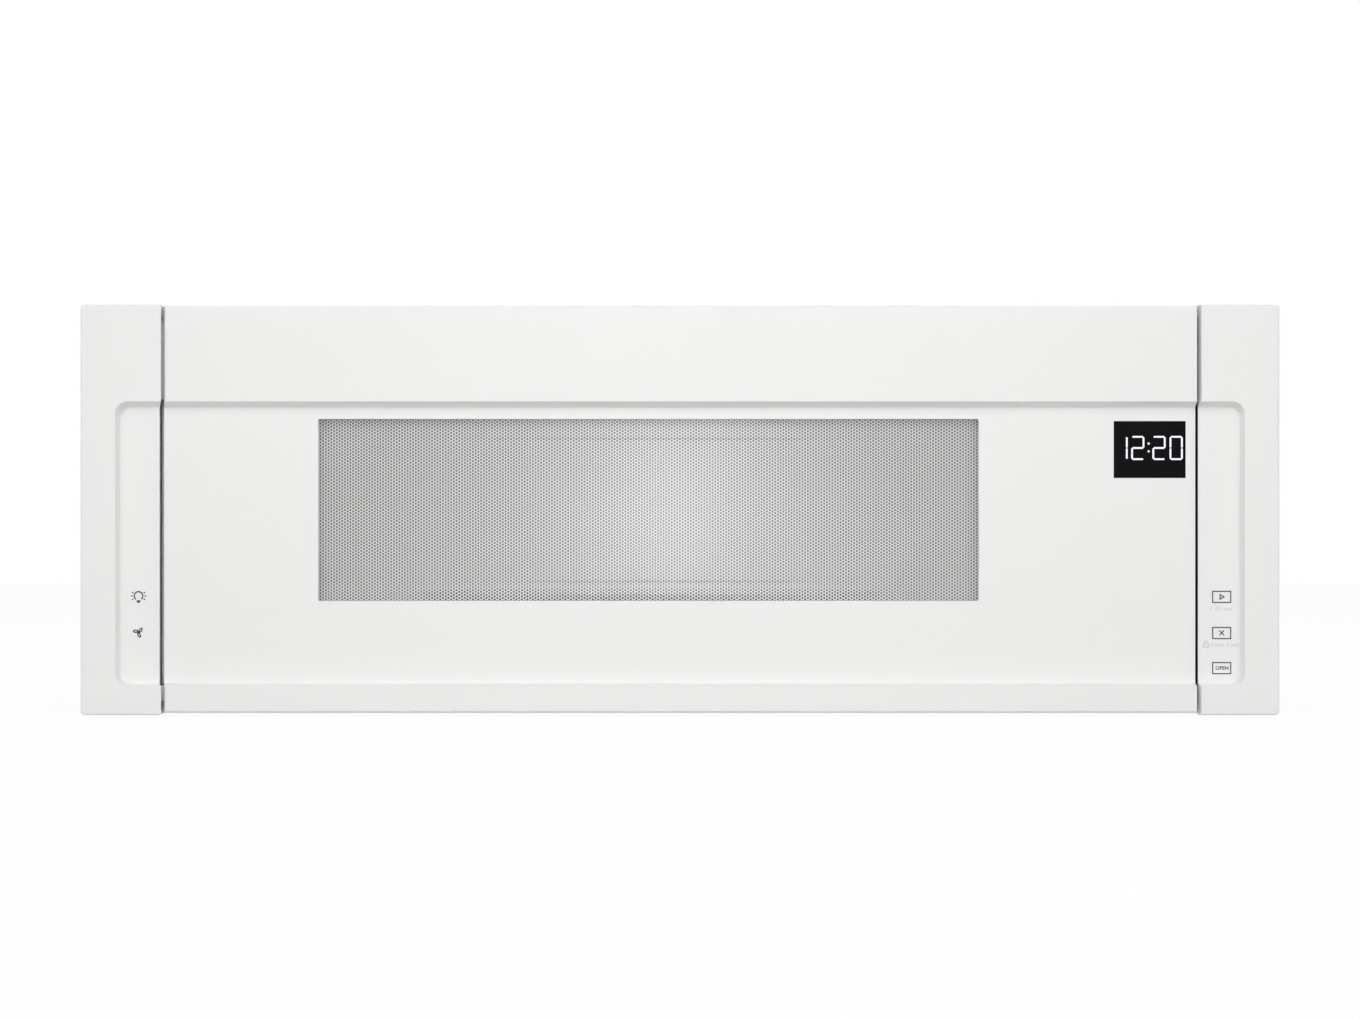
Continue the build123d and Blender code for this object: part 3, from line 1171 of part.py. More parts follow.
# Turntable coupler: the three-lobed hub on the motor's shaft
with BuildPart() as turntable_coupler:
    with BuildSketch(level(30.0)):
        with Locations((TABLE_X, TABLE_Y)):
            Circle(3.0)
    extrude(amount=20.0)
    with BuildSketch(level(43.6)):
        with Locations((TABLE_X, TABLE_Y)):
            Circle(6.5)
    extrude(amount=12.0)
    with BuildSketch(level(51.0)):
        with Locations((TABLE_X, TABLE_Y)):
            Circle(9.0)
            with PolarLocations(11.0, 3):
                Circle(5.0)
    extrude(amount=TRAY_LOW - 0.4 - 51.0)
turntable_coupler.part.label = "turntable_coupler"
export_step(turntable_coupler.part, "parts/turntable_coupler.step")

# Glass tray: a shallow turned dish with three lugs below that the coupler drives
with BuildPart() as glass_tray:
    with BuildSketch(Plane.XZ):
        with BuildLine():
            Polyline((0, 0), (TRAY_R - 18, 0))
            ThreePointArc((TRAY_R - 18, 0), (TRAY_R - 6.95, 3.66), (TRAY_R, 13.0))
            Polyline((TRAY_R, 13.0), (TRAY_R - 1.2, 14.4), (TRAY_R - 4.2, 13.0))
            ThreePointArc((TRAY_R - 4.2, 13.0), (TRAY_R - 11.14, 7.11), (TRAY_R - 20, TRAY_T))
            Polyline((TRAY_R - 20, TRAY_T), (0, TRAY_T), (0, 0))
        make_face()
    revolve(axis=Axis.Z)
    with BuildSketch(level(0)):
        with PolarLocations(13.5, 3, start_angle=60):
            Circle(3.0)
    extrude(amount=-4.5, taper=8)
glass_tray = glass_tray.part.moved(Location((TABLE_X, TABLE_Y, TRAY_LOW)))
glass_tray.label = "glass_tray"
export_step(glass_tray, "parts/glass_tray.step")

# Roller ring: a light hoop with three stub axles
RING_R = 92.0
with BuildPart() as roller_ring:
    with BuildSketch(level(ROLLER_Z - 3.0)):
        with Locations((TABLE_X, TABLE_Y)):
            Circle(RING_R)
            Circle(RING_R - 9.0, mode=Mode.SUBTRACT)
    extrude(amount=6.0)
    for arm in range(3):
        arm_plane = Plane(
            origin=(TABLE_X, TABLE_Y, ROLLER_Z),
            x_dir=(0, 0, 1),
            z_dir=(math.cos(math.radians(120 * arm)), math.sin(math.radians(120 * arm)), 0),
        )
        with BuildSketch(arm_plane.offset(RING_R - 4)):
            Circle(1.9)
        extrude(amount=TRACK_R + ROLLER_W / 2 + 3 - RING_R + 4)
        with BuildSketch(arm_plane.offset(TRACK_R + ROLLER_W / 2 + 1.0)):
            Circle(2.6)
        extrude(amount=2.0)
roller_ring.part.label = "roller_ring"
export_step(roller_ring.part, "parts/roller_ring.step")

# Rollers: three small wheels that carry the tray on the track
for number in range(3):
    heading = math.radians(120 * number)
    roller_plane = Plane(
        origin=(TABLE_X, TABLE_Y, ROLLER_Z),
        x_dir=(0, 0, 1),
        z_dir=(math.cos(heading), math.sin(heading), 0),
    )
    with BuildPart() as roller:
        with BuildSketch(roller_plane.offset(TRACK_R - ROLLER_W / 2)):
            Circle(ROLLER_R)
            Circle(1.97, mode=Mode.SUBTRACT)
        extrude(amount=ROLLER_W)
        chamfer(roller.edges().filter_by(GeomType.CIRCLE).filter_by(lambda e: e.radius > 5), 0.6)
    roller.part.label = f"roller_{number + 1}"
    export_step(roller.part, f"parts/roller_{number + 1}.step")

# ---------------------------------------------------------------- microwave power side, right of the cavity

# Waveguide: the box that carries the microwaves from the magnetron to the cavity wall
with BuildPart() as waveguide:
    for reach_y, reach_z, tall in ((50.0, 35.0, 1.0), (42.0, 27.0, GUIDE_REACH)):
        add_span(
            facing_right(CAVITY_RIGHT + SHEET),
            ANTENNA_Y - reach_y,
            ANTENNA_Y + reach_y,
            ANTENNA_Z - reach_z,
            ANTENNA_Z + reach_z,
            tall,
            2.0,
        )
    cut_span(
        facing_right(CAVITY_RIGHT),
        ANTENNA_Y - 40.5,
        ANTENNA_Y + 40.5,
        ANTENNA_Z - 25.5,
        ANTENNA_Z + 25.5,
        GUIDE_REACH - 0.5,
    )
    with BuildSketch(facing_right(CAVITY_RIGHT + 20)):
        with Locations((ANTENNA_Y, ANTENNA_Z)):
            Circle(15.0)
    extrude(amount=12.0, mode=Mode.SUBTRACT)
waveguide.part.label = "waveguide"
export_step(waveguide.part, "parts/waveguide.step")

# Waveguide cover: the mica sheet that closes the mouth on the cavity side
with BuildPart() as waveguide_cover:
    with BuildSketch(facing_right(CAVITY_RIGHT - 0.7)):
        with Locations((ANTENNA_Y, ANTENNA_Z)):
            RectangleRounded(92.0, 62.0, 3.0)
    extrude(amount=0.6)
waveguide_cover.part.label = "waveguide_cover"
export_step(waveguide_cover.part, "parts/waveguide_cover.step")

# Magnetron: finned body in a yoke, its antenna dome inside the waveguide
MAG_X = CAVITY_RIGHT + SHEET + GUIDE_REACH
YOKE_Y = (ANTENNA_Y - MAGNETRON_HALF_Y, ANTENNA_Y + MAGNETRON_HALF_Y)
YOKE_Z = (ANTENNA_Z - MAGNETRON_HALF_Z, ANTENNA_Z + MAGNETRON_HALF_Z)
YOKE_T = 2.0
FINS = 7
with BuildPart() as magnetron:
    # yoke: two end plates and two side straps
    for plate_x in (MAG_X, MAG_X + MAGNETRON_LENGTH - YOKE_T):
        add_span(facing_right(plate_x), *YOKE_Y, *YOKE_Z, YOKE_T, 3.0)
    for strap_y in (YOKE_Y[0], YOKE_Y[1] - YOKE_T):
        add_span(facing_right(MAG_X + 1.0), strap_y, strap_y + YOKE_T, *YOKE_Z, MAGNETRON_LENGTH - 2.0)
    # antenna dome, then the anode block
    with BuildSketch(facing_right(MAG_X - 20.0)):
        with Locations((ANTENNA_Y, ANTENNA_Z)):
            Circle(9.0)
    extrude(amount=20.5)
    with BuildSketch(facing_right(MAG_X + 1.0)):
        with Locations((ANTENNA_Y, ANTENNA_Z)):
            Circle(19.0)
    extrude(amount=MAGNETRON_LENGTH - 2.0)
    for fin in range(FINS):
        add_span(
            facing_right(MAG_X + 10.0 + fin * 5.5),
            YOKE_Y[0] + 1.5,
            YOKE_Y[1] - 1.5,
            YOKE_Z[0] + 6.0,
            YOKE_Z[1] - 6.0,
            0.9,
        )
    # filter box with the two terminals
    add_span(facing_right(MAG_X + MAGNETRON_LENGTH), ANTENNA_Y - 22, ANTENNA_Y + 22, 135.0, 175.0, 22.0, 3.0)
magnetron.part.label = "magnetron"
export_step(magnetron.part, "parts/magnetron.step")

# Component shelf: the steel deck over the right-hand filter that carries the power parts
with BuildPart() as component_shelf:
    deck = level(SHELF_TOP - SHEET)
    add_span(deck, SHELF_LEFT + SHEET, SHELF_RIGHT, SHELF_FRONT, SHELF_BACK, SHEET)
    add_span(deck, SHELF_LEFT, SHELF_LEFT + SHEET, SHELF_FRONT, SHELF_BACK, 46.0)
    add_span(
        level(SHEET + 0.1),
        SHELF_RIGHT - SHEET,
        SHELF_RIGHT,
        SHELF_FRONT,
        SHELF_BACK,
        SHELF_TOP - SHEET - 0.1,
    )
component_shelf.part.label = "component_shelf"
export_step(component_shelf.part, "parts/component_shelf.step")

# High-voltage transformer: laminated core with its two windings
CORE_LOW = SHELF_TOP + 4.0
with BuildPart() as hv_transformer:
    add_span(level(SHELF_TOP + 0.1), 286.0, 372.0, 40.0, 122.0, 4.5, 1.5)
    add_span(level(CORE_LOW), 290.0, 368.0, 46.0, 116.0, 60.0, 1.0)
    with BuildSketch(facing_front(130.0)):
        span(300.0, 358.0, CORE_LOW + 6, CORE_LOW + 28, 6.0)
        span(300.0, 358.0, CORE_LOW + 32, CORE_LOW + 56, 6.0)
    extrude(amount=98.0)
hv_transformer.part.label = "hv_transformer"
export_step(hv_transformer.part, "parts/hv_transformer.step")

# High-voltage capacitor: an oval can on its side, with its two terminals
CAPACITOR_Z = SHELF_TOP + 18.3
with BuildPart() as hv_capacitor:
    with BuildSketch(facing_front(-20.0)):
        with Locations((330.0, CAPACITOR_Z)):
            SlotOverall(66.0, 36.0)
    extrude(amount=80.0)
    chamfer(hv_capacitor.faces().sort_by(Axis.Y)[0].edges(), 1.5)
    with BuildSketch(facing_front(-20.5)):
        with Locations((318.0, CAPACITOR_Z), (342.0, CAPACITOR_Z)):
            Circle(5.0)
    extrude(amount=-8.5)
hv_capacitor.part.label = "hv_capacitor"
export_step(hv_capacitor.part, "parts/hv_capacitor.step")

# Cooling fan: square shroud, motor on its back bars and a five-bladed wheel
with BuildPart() as fan_shroud:
    with BuildSketch(facing_front(FAN_Y + 14.0)):
        span(FAN_X - 50, FAN_X + 50, FAN_Z - 50, FAN_Z + 50, 4.0)
        with Locations((FAN_X, FAN_Z)):
            Circle(FAN_R + 2.0, mode=Mode.SUBTRACT)
    extrude(amount=26.0)
    with BuildSketch(facing_front(FAN_Y + 14.0)):
        span(FAN_X - 3.5, FAN_X + 3.5, FAN_Z - 47, FAN_Z + 47)
        with Locations((FAN_X, FAN_Z)):
            Circle(20.0)
    extrude(amount=2.0)
fan_shroud.part.label = "fan_shroud"
export_step(fan_shroud.part, "parts/fan_shroud.step")

with BuildPart() as fan_motor:
    with BuildSketch(facing_front(FAN_Y + 12.0)):
        with Locations((FAN_X, FAN_Z)):
            Circle(17.0)
    extrude(amount=10.0)
    with BuildSketch(facing_front(FAN_Y + 10.0)):
        with Locations((FAN_X, FAN_Z)):
            Circle(2.06)
    extrude(amount=10.0, mode=Mode.SUBTRACT)
fan_motor.part.label = "fan_motor"
export_step(fan_motor.part, "parts/fan_motor.step")

with BuildPart() as cooling_fan:
    with BuildSketch(facing_front(FAN_Y + 1.0)):
        with Locations((FAN_X, FAN_Z)):
            Circle(14.0)
    extrude(amount=11.0)
    with BuildSketch(facing_front(FAN_Y + 9.5)):
        with Locations((FAN_X, FAN_Z)):
            Circle(2.0)
    extrude(amount=10.0)
    for blade in range(5):
        turn = 72 * blade
        with BuildSketch(
            Plane(
                origin=(FAN_X, FAN_Y - 4.5, FAN_Z),
                x_dir=(0, 1, 0),
                z_dir=(math.cos(math.radians(turn)), 0, math.sin(math.radians(turn))),
            ).offset(12.0)
        ):
            with Locations(Location((0, 0, 0), (0, 0, 38))):
                Rectangle(1.4, 17.0)
        extrude(amount=FAN_R - 13.0)
cooling_fan.part.label = "cooling_fan"
export_step(cooling_fan.part, "parts/cooling_fan.step")

# Power board: relays and filter parts on a board along the right wall
with BuildPart() as power_board:
    add_span(facing_right(BOARD_X), -178.0, -30.0, 60.0, 190.0, 1.6, 2.0)
    for relay_z in (70.0, 95.0, 120.0):
        add_span(facing_right(BOARD_X), -80.0, -52.0, relay_z, relay_z + 18.0, -15.0, 1.0)
    add_span(facing_right(BOARD_X), -170.0, -130.0, 130.0, 172.0, -28.0, 2.0)
    with BuildSketch(facing_right(BOARD_X)):
        with Locations((-115.0, 84.0), (-140.0, 84.0)):
            Circle(8.0)
    extrude(amount=-24.0)
power_board.part.label = "power_board"
export_step(power_board.part, "parts/power_board.step")

# Cavity lamp: a small bulb and holder outside the lamp perforations
with BuildPart() as cavity_lamp:
    for reach, deep in ((22.0, 1.2), (18.0, 23.0)):
        add_span(
            facing_right(CAVITY_RIGHT + SHEET),
            BULB_Y - reach,
            BULB_Y + reach,
            BULB_Z - reach,
            BULB_Z + reach,
            deep,
            3.0,
        )
    cut_span(facing_right(CAVITY_RIGHT), BULB_Y - 16, BULB_Y + 16, BULB_Z - 16, BULB_Z + 16, 21.0, 2.0)
    with BuildSketch(facing_right(CAVITY_RIGHT + 23.0)):
        with Locations((BULB_Y, BULB_Z)):
            Circle(9.0)
    extrude(amount=16.0)
cavity_lamp.part.label = "cavity_lamp"
export_step(cavity_lamp.part, "parts/cavity_lamp.step")
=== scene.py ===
"""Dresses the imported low-profile microwave oven: finishes, screen, clock, symbols and small parts."""

import math

import bpy
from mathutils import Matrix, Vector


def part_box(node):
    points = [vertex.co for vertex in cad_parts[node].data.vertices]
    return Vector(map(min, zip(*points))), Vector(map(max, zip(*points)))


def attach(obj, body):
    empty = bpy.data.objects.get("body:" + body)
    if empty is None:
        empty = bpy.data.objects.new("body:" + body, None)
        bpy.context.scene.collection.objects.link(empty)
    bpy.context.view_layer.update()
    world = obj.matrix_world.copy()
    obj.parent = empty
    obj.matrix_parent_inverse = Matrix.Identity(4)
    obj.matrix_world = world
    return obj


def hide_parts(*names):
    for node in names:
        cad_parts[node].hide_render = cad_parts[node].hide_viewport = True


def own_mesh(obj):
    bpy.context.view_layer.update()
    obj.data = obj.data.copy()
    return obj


bl_info = {
    "name": "Over-the-range microwave oven",
    "version": (1, 0, 0),
    "blender": (4, 5, 0),
    "location": "View3D > Sidebar > Oven",
    "description": "Adds the finishes and fine parts of a low-profile microwave oven to its frame",
    "category": "Object",
}

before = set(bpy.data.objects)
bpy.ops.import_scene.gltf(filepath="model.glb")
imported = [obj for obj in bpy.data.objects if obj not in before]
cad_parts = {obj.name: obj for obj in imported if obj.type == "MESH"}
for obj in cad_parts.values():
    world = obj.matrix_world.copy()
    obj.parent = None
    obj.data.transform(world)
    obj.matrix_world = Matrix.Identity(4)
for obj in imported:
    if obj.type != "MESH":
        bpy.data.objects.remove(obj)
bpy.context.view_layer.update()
MM = 0.001

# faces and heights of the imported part, in metres
DOOR_FACE = -231.5 * MM
RECESS_FACE = -228.0 * MM
LIP_FACE = -218.0 * MM
FRONT_MIDDLE = 130.1 * MM

# roughly what a wave texture's scale is, times the distance between its bands
BANDS = 2 / 6.2832


def linear(hex_colour):
    """An sRGB hex colour as the linear red, green and blue that shaders take."""
    channels = [int(hex_colour[i : i + 2], 16) / 255 for i in (0, 2, 4)]
    return [c / 12.92 if c <= 0.04045 else ((c + 0.055) / 1.055) ** 2.4 for c in channels]


def add_node(tree, kind, sockets=None, **settings):
    """Adds a shader node; a socket is given a plain value or another node's output."""
    made = tree.nodes.new(kind)
    for key, value in settings.items():
        setattr(made, key, value)
    for key, value in (sockets or {}).items():
        if isinstance(value, bpy.types.NodeSocket):
            tree.links.new(value, made.inputs[key])
        elif isinstance(value, (list, tuple)) and len(value) == 3 and made.inputs[key].type == "RGBA":
            made.inputs[key].default_value = (*value, 1.0)
        else:
            made.inputs[key].default_value = value
    return made


def new_finish(name, colour, roughness, metallic=0.0, ior=1.5):
    """A material of that name with plain values; also its tree, its shader and each point's place."""
    made = bpy.data.materials.new(name)
    made.use_nodes = True
    shader = made.node_tree.nodes["Principled BSDF"]
    shader.inputs["Base Color"].default_value = (*colour, 1.0)
    shader.inputs["Roughness"].default_value = roughness
    shader.inputs["Metallic"].default_value = metallic
    if not metallic:
        shader.inputs["IOR"].default_value = ior
    place = add_node(made.node_tree, "ShaderNodeTexCoord").outputs["Object"]
    return made, made.node_tree, shader, place


# ---------------------------------------------------------------- sizes and colours that a user may change


class OvenSizes(bpy.types.PropertyGroup):
    """Sizes of the fine parts, in metres"""

    hole_pitch: bpy.props.FloatProperty(
        name="Hole pitch",
        description="Distance between the middles of neighbouring holes in the door's screen",
        default=2.0 * MM,
        unit="LENGTH",
        precision=5,
    )
    hole_radius: bpy.props.FloatProperty(
        name="Hole radius",
        description="Radius of each hole in the door's screen",
        default=0.805 * MM,
        unit="LENGTH",
        precision=5,
    )
    digit_height: bpy.props.FloatProperty(
        name="Digit height",
        description="Height of the clock's digits",
        default=15.3 * MM,
        unit="LENGTH",
        precision=5,
    )
    stroke: bpy.props.FloatProperty(
        name="Symbol stroke",
        description="Width of the printed lines of the touch symbols",
        default=0.7 * MM,
        unit="LENGTH",
        precision=5,
    )
    camera_distance: bpy.props.FloatProperty(
        name="Camera distance",
        description="Distance from the camera to the door",
        default=4.0,
        unit="LENGTH",
    )


class OvenColours(bpy.types.PropertyGroup):
    """Colours of the finishes"""

    moulding: bpy.props.FloatVectorProperty(
        name="Moulding",
        description="Colour of the door and the end panels",
        default=linear("F3F3F2"),
        subtype="COLOR",
    )
    cover: bpy.props.FloatVectorProperty(
        name="Cover",
        description="Colour of the painted steel cover and base",
        default=linear("E6E6E3"),
        subtype="COLOR",
    )
    cavity: bpy.props.FloatVectorProperty(
        name="Cavity",
        description="Colour of the enamel inside the oven",
        default=linear("9C9C9A"),
        subtype="COLOR",
    )
    ink: bpy.props.FloatVectorProperty(
        name="Ink",
        description="Colour of the printed touch symbols",
        default=linear("28282A"),
        subtype="COLOR",
    )
    digits: bpy.props.FloatVectorProperty(
        name="Digits",
        description="Colour of the lit clock digits",
        default=linear("F4F6FF"),
        subtype="COLOR",
    )


# ---------------------------------------------------------------- finishes


def glossy_white_abs(colour):
    # ABS, injection moulded in a polished tool: a soft gloss with the faintest orange peel
    made, tree, shader, place = new_finish("abs_moulded_gloss_white", colour, 0.30, ior=1.54)
    peel = add_node(tree, "ShaderNodeTexNoise", {"Vector": place, "Scale": 1 / (3.0 * MM), "Detail": 1.0})
    bump = add_node(
        tree,
        "ShaderNodeBump",
        {"Height": peel.outputs["Fac"], "Strength": 0.12, "Distance": 0.02 * MM},
    )
    tree.links.new(bump.outputs["Normal"], shader.inputs["Normal"])
    # flow of the melt leaves the gloss a little uneven over hand-wide areas
    flow = add_node(tree, "ShaderNodeTexNoise", {"Vector": place, "Scale": 1 / (80.0 * MM), "Detail": 2.0})
    gloss = add_node(
        tree,
        "ShaderNodeMapRange",
        {"Value": flow.outputs["Fac"], "To Min": 0.26, "To Max": 0.36},
    )
    tree.links.new(gloss.outputs["Result"], shader.inputs["Roughness"])
    return made


def satin_moulding(name, hex_colour, roughness, depth=0.35):
    # polypropylene or ABS from a spark-eroded tool: a fine even grain, drawn 0.8 mm apart so that it shows
    made, tree, shader, place = new_finish(name, linear(hex_colour), roughness, ior=1.5)
    grain = add_node(tree, "ShaderNodeTexNoise", {"Vector": place, "Scale": 1 / (0.8 * MM), "Detail": 2.0})
    bump = add_node(
        tree,
        "ShaderNodeBump",
        {"Height": grain.outputs["Fac"], "Strength": depth, "Distance": 0.05 * MM},
    )
    tree.links.new(bump.outputs["Normal"], shader.inputs["Normal"])
    return made


def powder_coat(name, colour, roughness=0.45):
    # polyester powder baked on steel: even colour with an orange peel about 1.5 mm across
    made, tree, shader, place = new_finish(name, colour, roughness, ior=1.5)
    peel = add_node(tree, "ShaderNodeTexNoise", {"Vector": place, "Scale": 1 / (1.5 * MM), "Detail": 2.0})
    bump = add_node(
        tree,
        "ShaderNodeBump",
        {"Height": peel.outputs["Fac"], "Strength": 0.3, "Distance": 0.04 * MM},
    )
    tree.links.new(bump.outputs["Normal"], shader.inputs["Normal"])
    drift = add_node(tree, "ShaderNodeTexNoise", {"Vector": place, "Scale": 1 / (120.0 * MM)})
    tone = add_node(
        tree,
        "ShaderNodeMix",
        {0: drift.outputs["Fac"], 6: [c * 0.97 for c in colour], 7: colour},
        data_type="RGBA",
    )
    tree.links.new(tone.outputs[2], shader.inputs["Base Color"])
    return made


def galvanised_sheet():
    # hot-dip galvanised steel: frozen zinc spangle, flakes about 6 mm across in two close greys
    made, tree, shader, place = new_finish("steel_sheet_galvanised", linear("A4A7A9"), 0.42, metallic=0.85)
    spangle = add_node(tree, "ShaderNodeTexVoronoi", {"Vector": place, "Scale": 1 / (6.0 * MM)})
    tone = add_node(
        tree,
        "ShaderNodeMix",
        {0: spangle.outputs["Color"], 6: linear("9C9FA2"), 7: linear("B2B5B7")},
        data_type="RGBA",
    )
    tree.links.new(tone.outputs[2], shader.inputs["Base Color"])
    gloss = add_node(
        tree,
        "ShaderNodeMapRange",
        {"Value": spangle.outputs["Color"], "To Min": 0.36, "To Max": 0.48},
    )
    tree.links.new(gloss.outputs["Result"], shader.inputs["Roughness"])
    return made


def zinc_plated_steel():
    # zinc plating over turned or pressed steel: bright, with faint drawing lines 0.3 mm apart
    made, tree, shader, place = new_finish("steel_zinc_plated", linear("C3C5C8"), 0.3, metallic=1.0)
    along = add_node(tree, "ShaderNodeMapping", {"Vector": place, "Scale": (1.0, 1.0, 8.0)})
    lines = add_node(
        tree,
        "ShaderNodeTexNoise",
        {"Vector": along.outputs["Vector"], "Scale": 1 / (2.4 * MM), "Detail": 3.0},
    )
    gloss = add_node(
        tree,
        "ShaderNodeMapRange",
        {"Value": lines.outputs["Fac"], "To Min": 0.2, "To Max": 0.42},
    )
    tree.links.new(gloss.outputs["Result"], shader.inputs["Roughness"])
    return made


def mill_aluminium():
    # rolled aluminium strip as it leaves the mill: long rolling lines, 0.8 mm apart along x
    made, tree, shader, place = new_finish("aluminium_rolled", linear("CBCDCF"), 0.34, metallic=1.0)
    along = add_node(tree, "ShaderNodeMapping", {"Vector": place, "Scale": (12.0, 1.0, 1.0)})
    lines = add_node(
        tree,
        "ShaderNodeTexNoise",
        {"Vector": along.outputs["Vector"], "Scale": 1 / (10.0 * MM), "Detail": 4.0},
    )
    gloss = add_node(
        tree,
        "ShaderNodeMapRange",
        {"Value": lines.outputs["Fac"], "To Min": 0.25, "To Max": 0.45},
    )
    tree.links.new(gloss.outputs["Result"], shader.inputs["Roughness"])
    tone = add_node(
        tree,
        "ShaderNodeMix",
        {0: lines.outputs["Fac"], 6: linear("B4B7BA"), 7: linear("D6D8DA")},
        data_type="RGBA",
    )
    tree.links.new(tone.outputs[2], shader.inputs["Base Color"])
    return made


def filter_aluminium():
    # rolled aluminium frame round a pack of knitted foil, whose strands lie about 2 mm apart; the openings
    # between them carry painted shade
    made, tree, shader, place = new_finish("aluminium_filter_pack", linear("B9BCBE"), 0.38, metallic=1.0)
    knit = add_node(
        tree,
        "ShaderNodeTexVoronoi",
        {"Vector": place, "Scale": 1 / (2.2 * MM)},
        feature="DISTANCE_TO_EDGE",
    )
    strand = add_node(
        tree,
        "ShaderNodeMapRange",
        {"Value": knit.outputs["Distance"], "From Max": 0.18, "To Min": 1.0, "To Max": 0.0},
    )
    # the pack shows inside the frame: its middle and half its size, first along x, then along y
    apart = add_node(tree, "ShaderNodeSeparateXYZ", {"Vector": place})
    side = add_node(tree, "ShaderNodeMath", {0: apart.outputs["X"]}, operation="ABSOLUTE")
    within = []
    for along, middle, half in (
        (side.outputs[0], 260.0 * MM, 81.0 * MM),
        (apart.outputs["Y"], 35.0 * MM, 116.0 * MM),
    ):
        away = add_node(tree, "ShaderNodeMath", {0: along, 1: middle}, operation="SUBTRACT")
        reach = add_node(tree, "ShaderNodeMath", {0: away.outputs[0]}, operation="ABSOLUTE")
        near = add_node(tree, "ShaderNodeMath", {0: reach.outputs[0], 1: half}, operation="LESS_THAN")
        within.append(near.outputs[0])
    inside = add_node(tree, "ShaderNodeMath", {0: within[0], 1: within[1]}, operation="MULTIPLY")
    # the strands keep the foil's own grey, and the openings between them are painted near black: painted
    # shade in the depth of the pack
    pack = add_node(
        tree,
        "ShaderNodeMix",
        {0: strand.outputs["Result"], 6: linear("2C2D2E"), 7: linear("A9ACAE")},
        data_type="RGBA",
    )
    tone = add_node(
        tree,
        "ShaderNodeMix",
        {0: inside.outputs[0], 6: linear("C6C8CA"), 7: pack.outputs[2]},
        data_type="RGBA",
    )
    tree.links.new(tone.outputs[2], shader.inputs["Base Color"])
    height = add_node(
        tree,
        "ShaderNodeMath",
        {0: strand.outputs["Result"], 1: inside.outputs[0]},
        operation="MULTIPLY",
    )
    bump = add_node(
        tree,
        "ShaderNodeBump",
        {"Height": height.outputs[0], "Strength": 0.8, "Distance": 0.4 * MM},
    )
    tree.links.new(bump.outputs["Normal"], shader.inputs["Normal"])
    return made


def thin_pane():
    # bloomed float glass: clear, with a trace of grey-green and a faint, sharp reflection
    made, tree, shader, place = new_finish("glass_float_clear", linear("9FAAA7"), 0.03, ior=1.52)
    shader.inputs["Alpha"].default_value = 0.012
    shader.inputs["Specular IOR Level"].default_value = 0.25
    ripple = add_node(tree, "ShaderNodeTexNoise", {"Vector": place, "Scale": 1 / (60.0 * MM)})
    gloss = add_node(
        tree,
        "ShaderNodeMapRange",
        {"Value": ripple.outputs["Fac"], "To Min": 0.02, "To Max": 0.05},
    )
    tree.links.new(gloss.outputs["Result"], shader.inputs["Roughness"])
    return made


def tray_glass():
    # pressed soda-lime glass, fire polished: thick, faintly green, with soft waves from the mould
    made, tree, shader, place = new_finish("glass_pressed_tray", linear("D5E2DE"), 0.06, ior=1.52)
    shader.inputs["Alpha"].default_value = 0.16
    wave = add_node(tree, "ShaderNodeTexNoise", {"Vector": place, "Scale": 1 / (14.0 * MM)})
    bump = add_node(
        tree,
        "ShaderNodeBump",
        {"Height": wave.outputs["Fac"], "Strength": 0.25, "Distance": 0.3 * MM},
    )
    tree.links.new(bump.outputs["Normal"], shader.inputs["Normal"])
    return made


def display_acrylic():
    # black cast acrylic lens, bloomed against reflections: deep gloss, uneven over a few millimetres
    made, tree, shader, place = new_finish("acrylic_cast_black", linear("0A0A0B"), 0.08, ior=1.49)
    shader.inputs["Specular IOR Level"].default_value = 0.08
    polish = add_node(tree, "ShaderNodeTexNoise", {"Vector": place, "Scale": 1 / (6.0 * MM), "Detail": 3.0})
    gloss = add_node(
        tree,
        "ShaderNodeMapRange",
        {"Value": polish.outputs["Fac"], "To Min": 0.05, "To Max": 0.14},
    )
    tree.links.new(gloss.outputs["Result"], shader.inputs["Roughness"])
    return made


def prismatic_lens():
    # polycarbonate lamp lens with moulded ribs 2.5 mm apart that spread the light
    made, tree, shader, place = new_finish("polycarbonate_ribbed_lens", linear("E9E9E2"), 0.25, ior=1.58)
    shader.inputs["Alpha"].default_value = 0.75
    ribs = add_node(
        tree,
        "ShaderNodeTexWave",
        {"Vector": place, "Scale": BANDS / (2.5 * MM)},
        bands_direction="X",
    )
    bump = add_node(
        tree,
        "ShaderNodeBump",
        {"Height": ribs.outputs["Fac"], "Strength": 0.8, "Distance": 0.5 * MM},
    )
    tree.links.new(bump.outputs["Normal"], shader.inputs["Normal"])
    return made


def solder_mask():
    # glass-epoxy board under green lacquer, with a faint mottle of copper lands 3 mm across
    made, tree, shader, place = new_finish("epoxy_board_green", linear("1F5A33"), 0.35, ior=1.55)
    lands = add_node(
        tree,
        "ShaderNodeTexVoronoi",
        {"Vector": place, "Scale": 1 / (3.0 * MM), "Randomness": 0.6},
        distance="MANHATTAN",
    )
    tone = add_node(
        tree,
        "ShaderNodeMix",
        {0: lands.outputs["Distance"], 6: linear("2F7A47"), 7: linear("174A29")},
        data_type="RGBA",
    )
    tree.links.new(tone.outputs[2], shader.inputs["Base Color"])
    return made


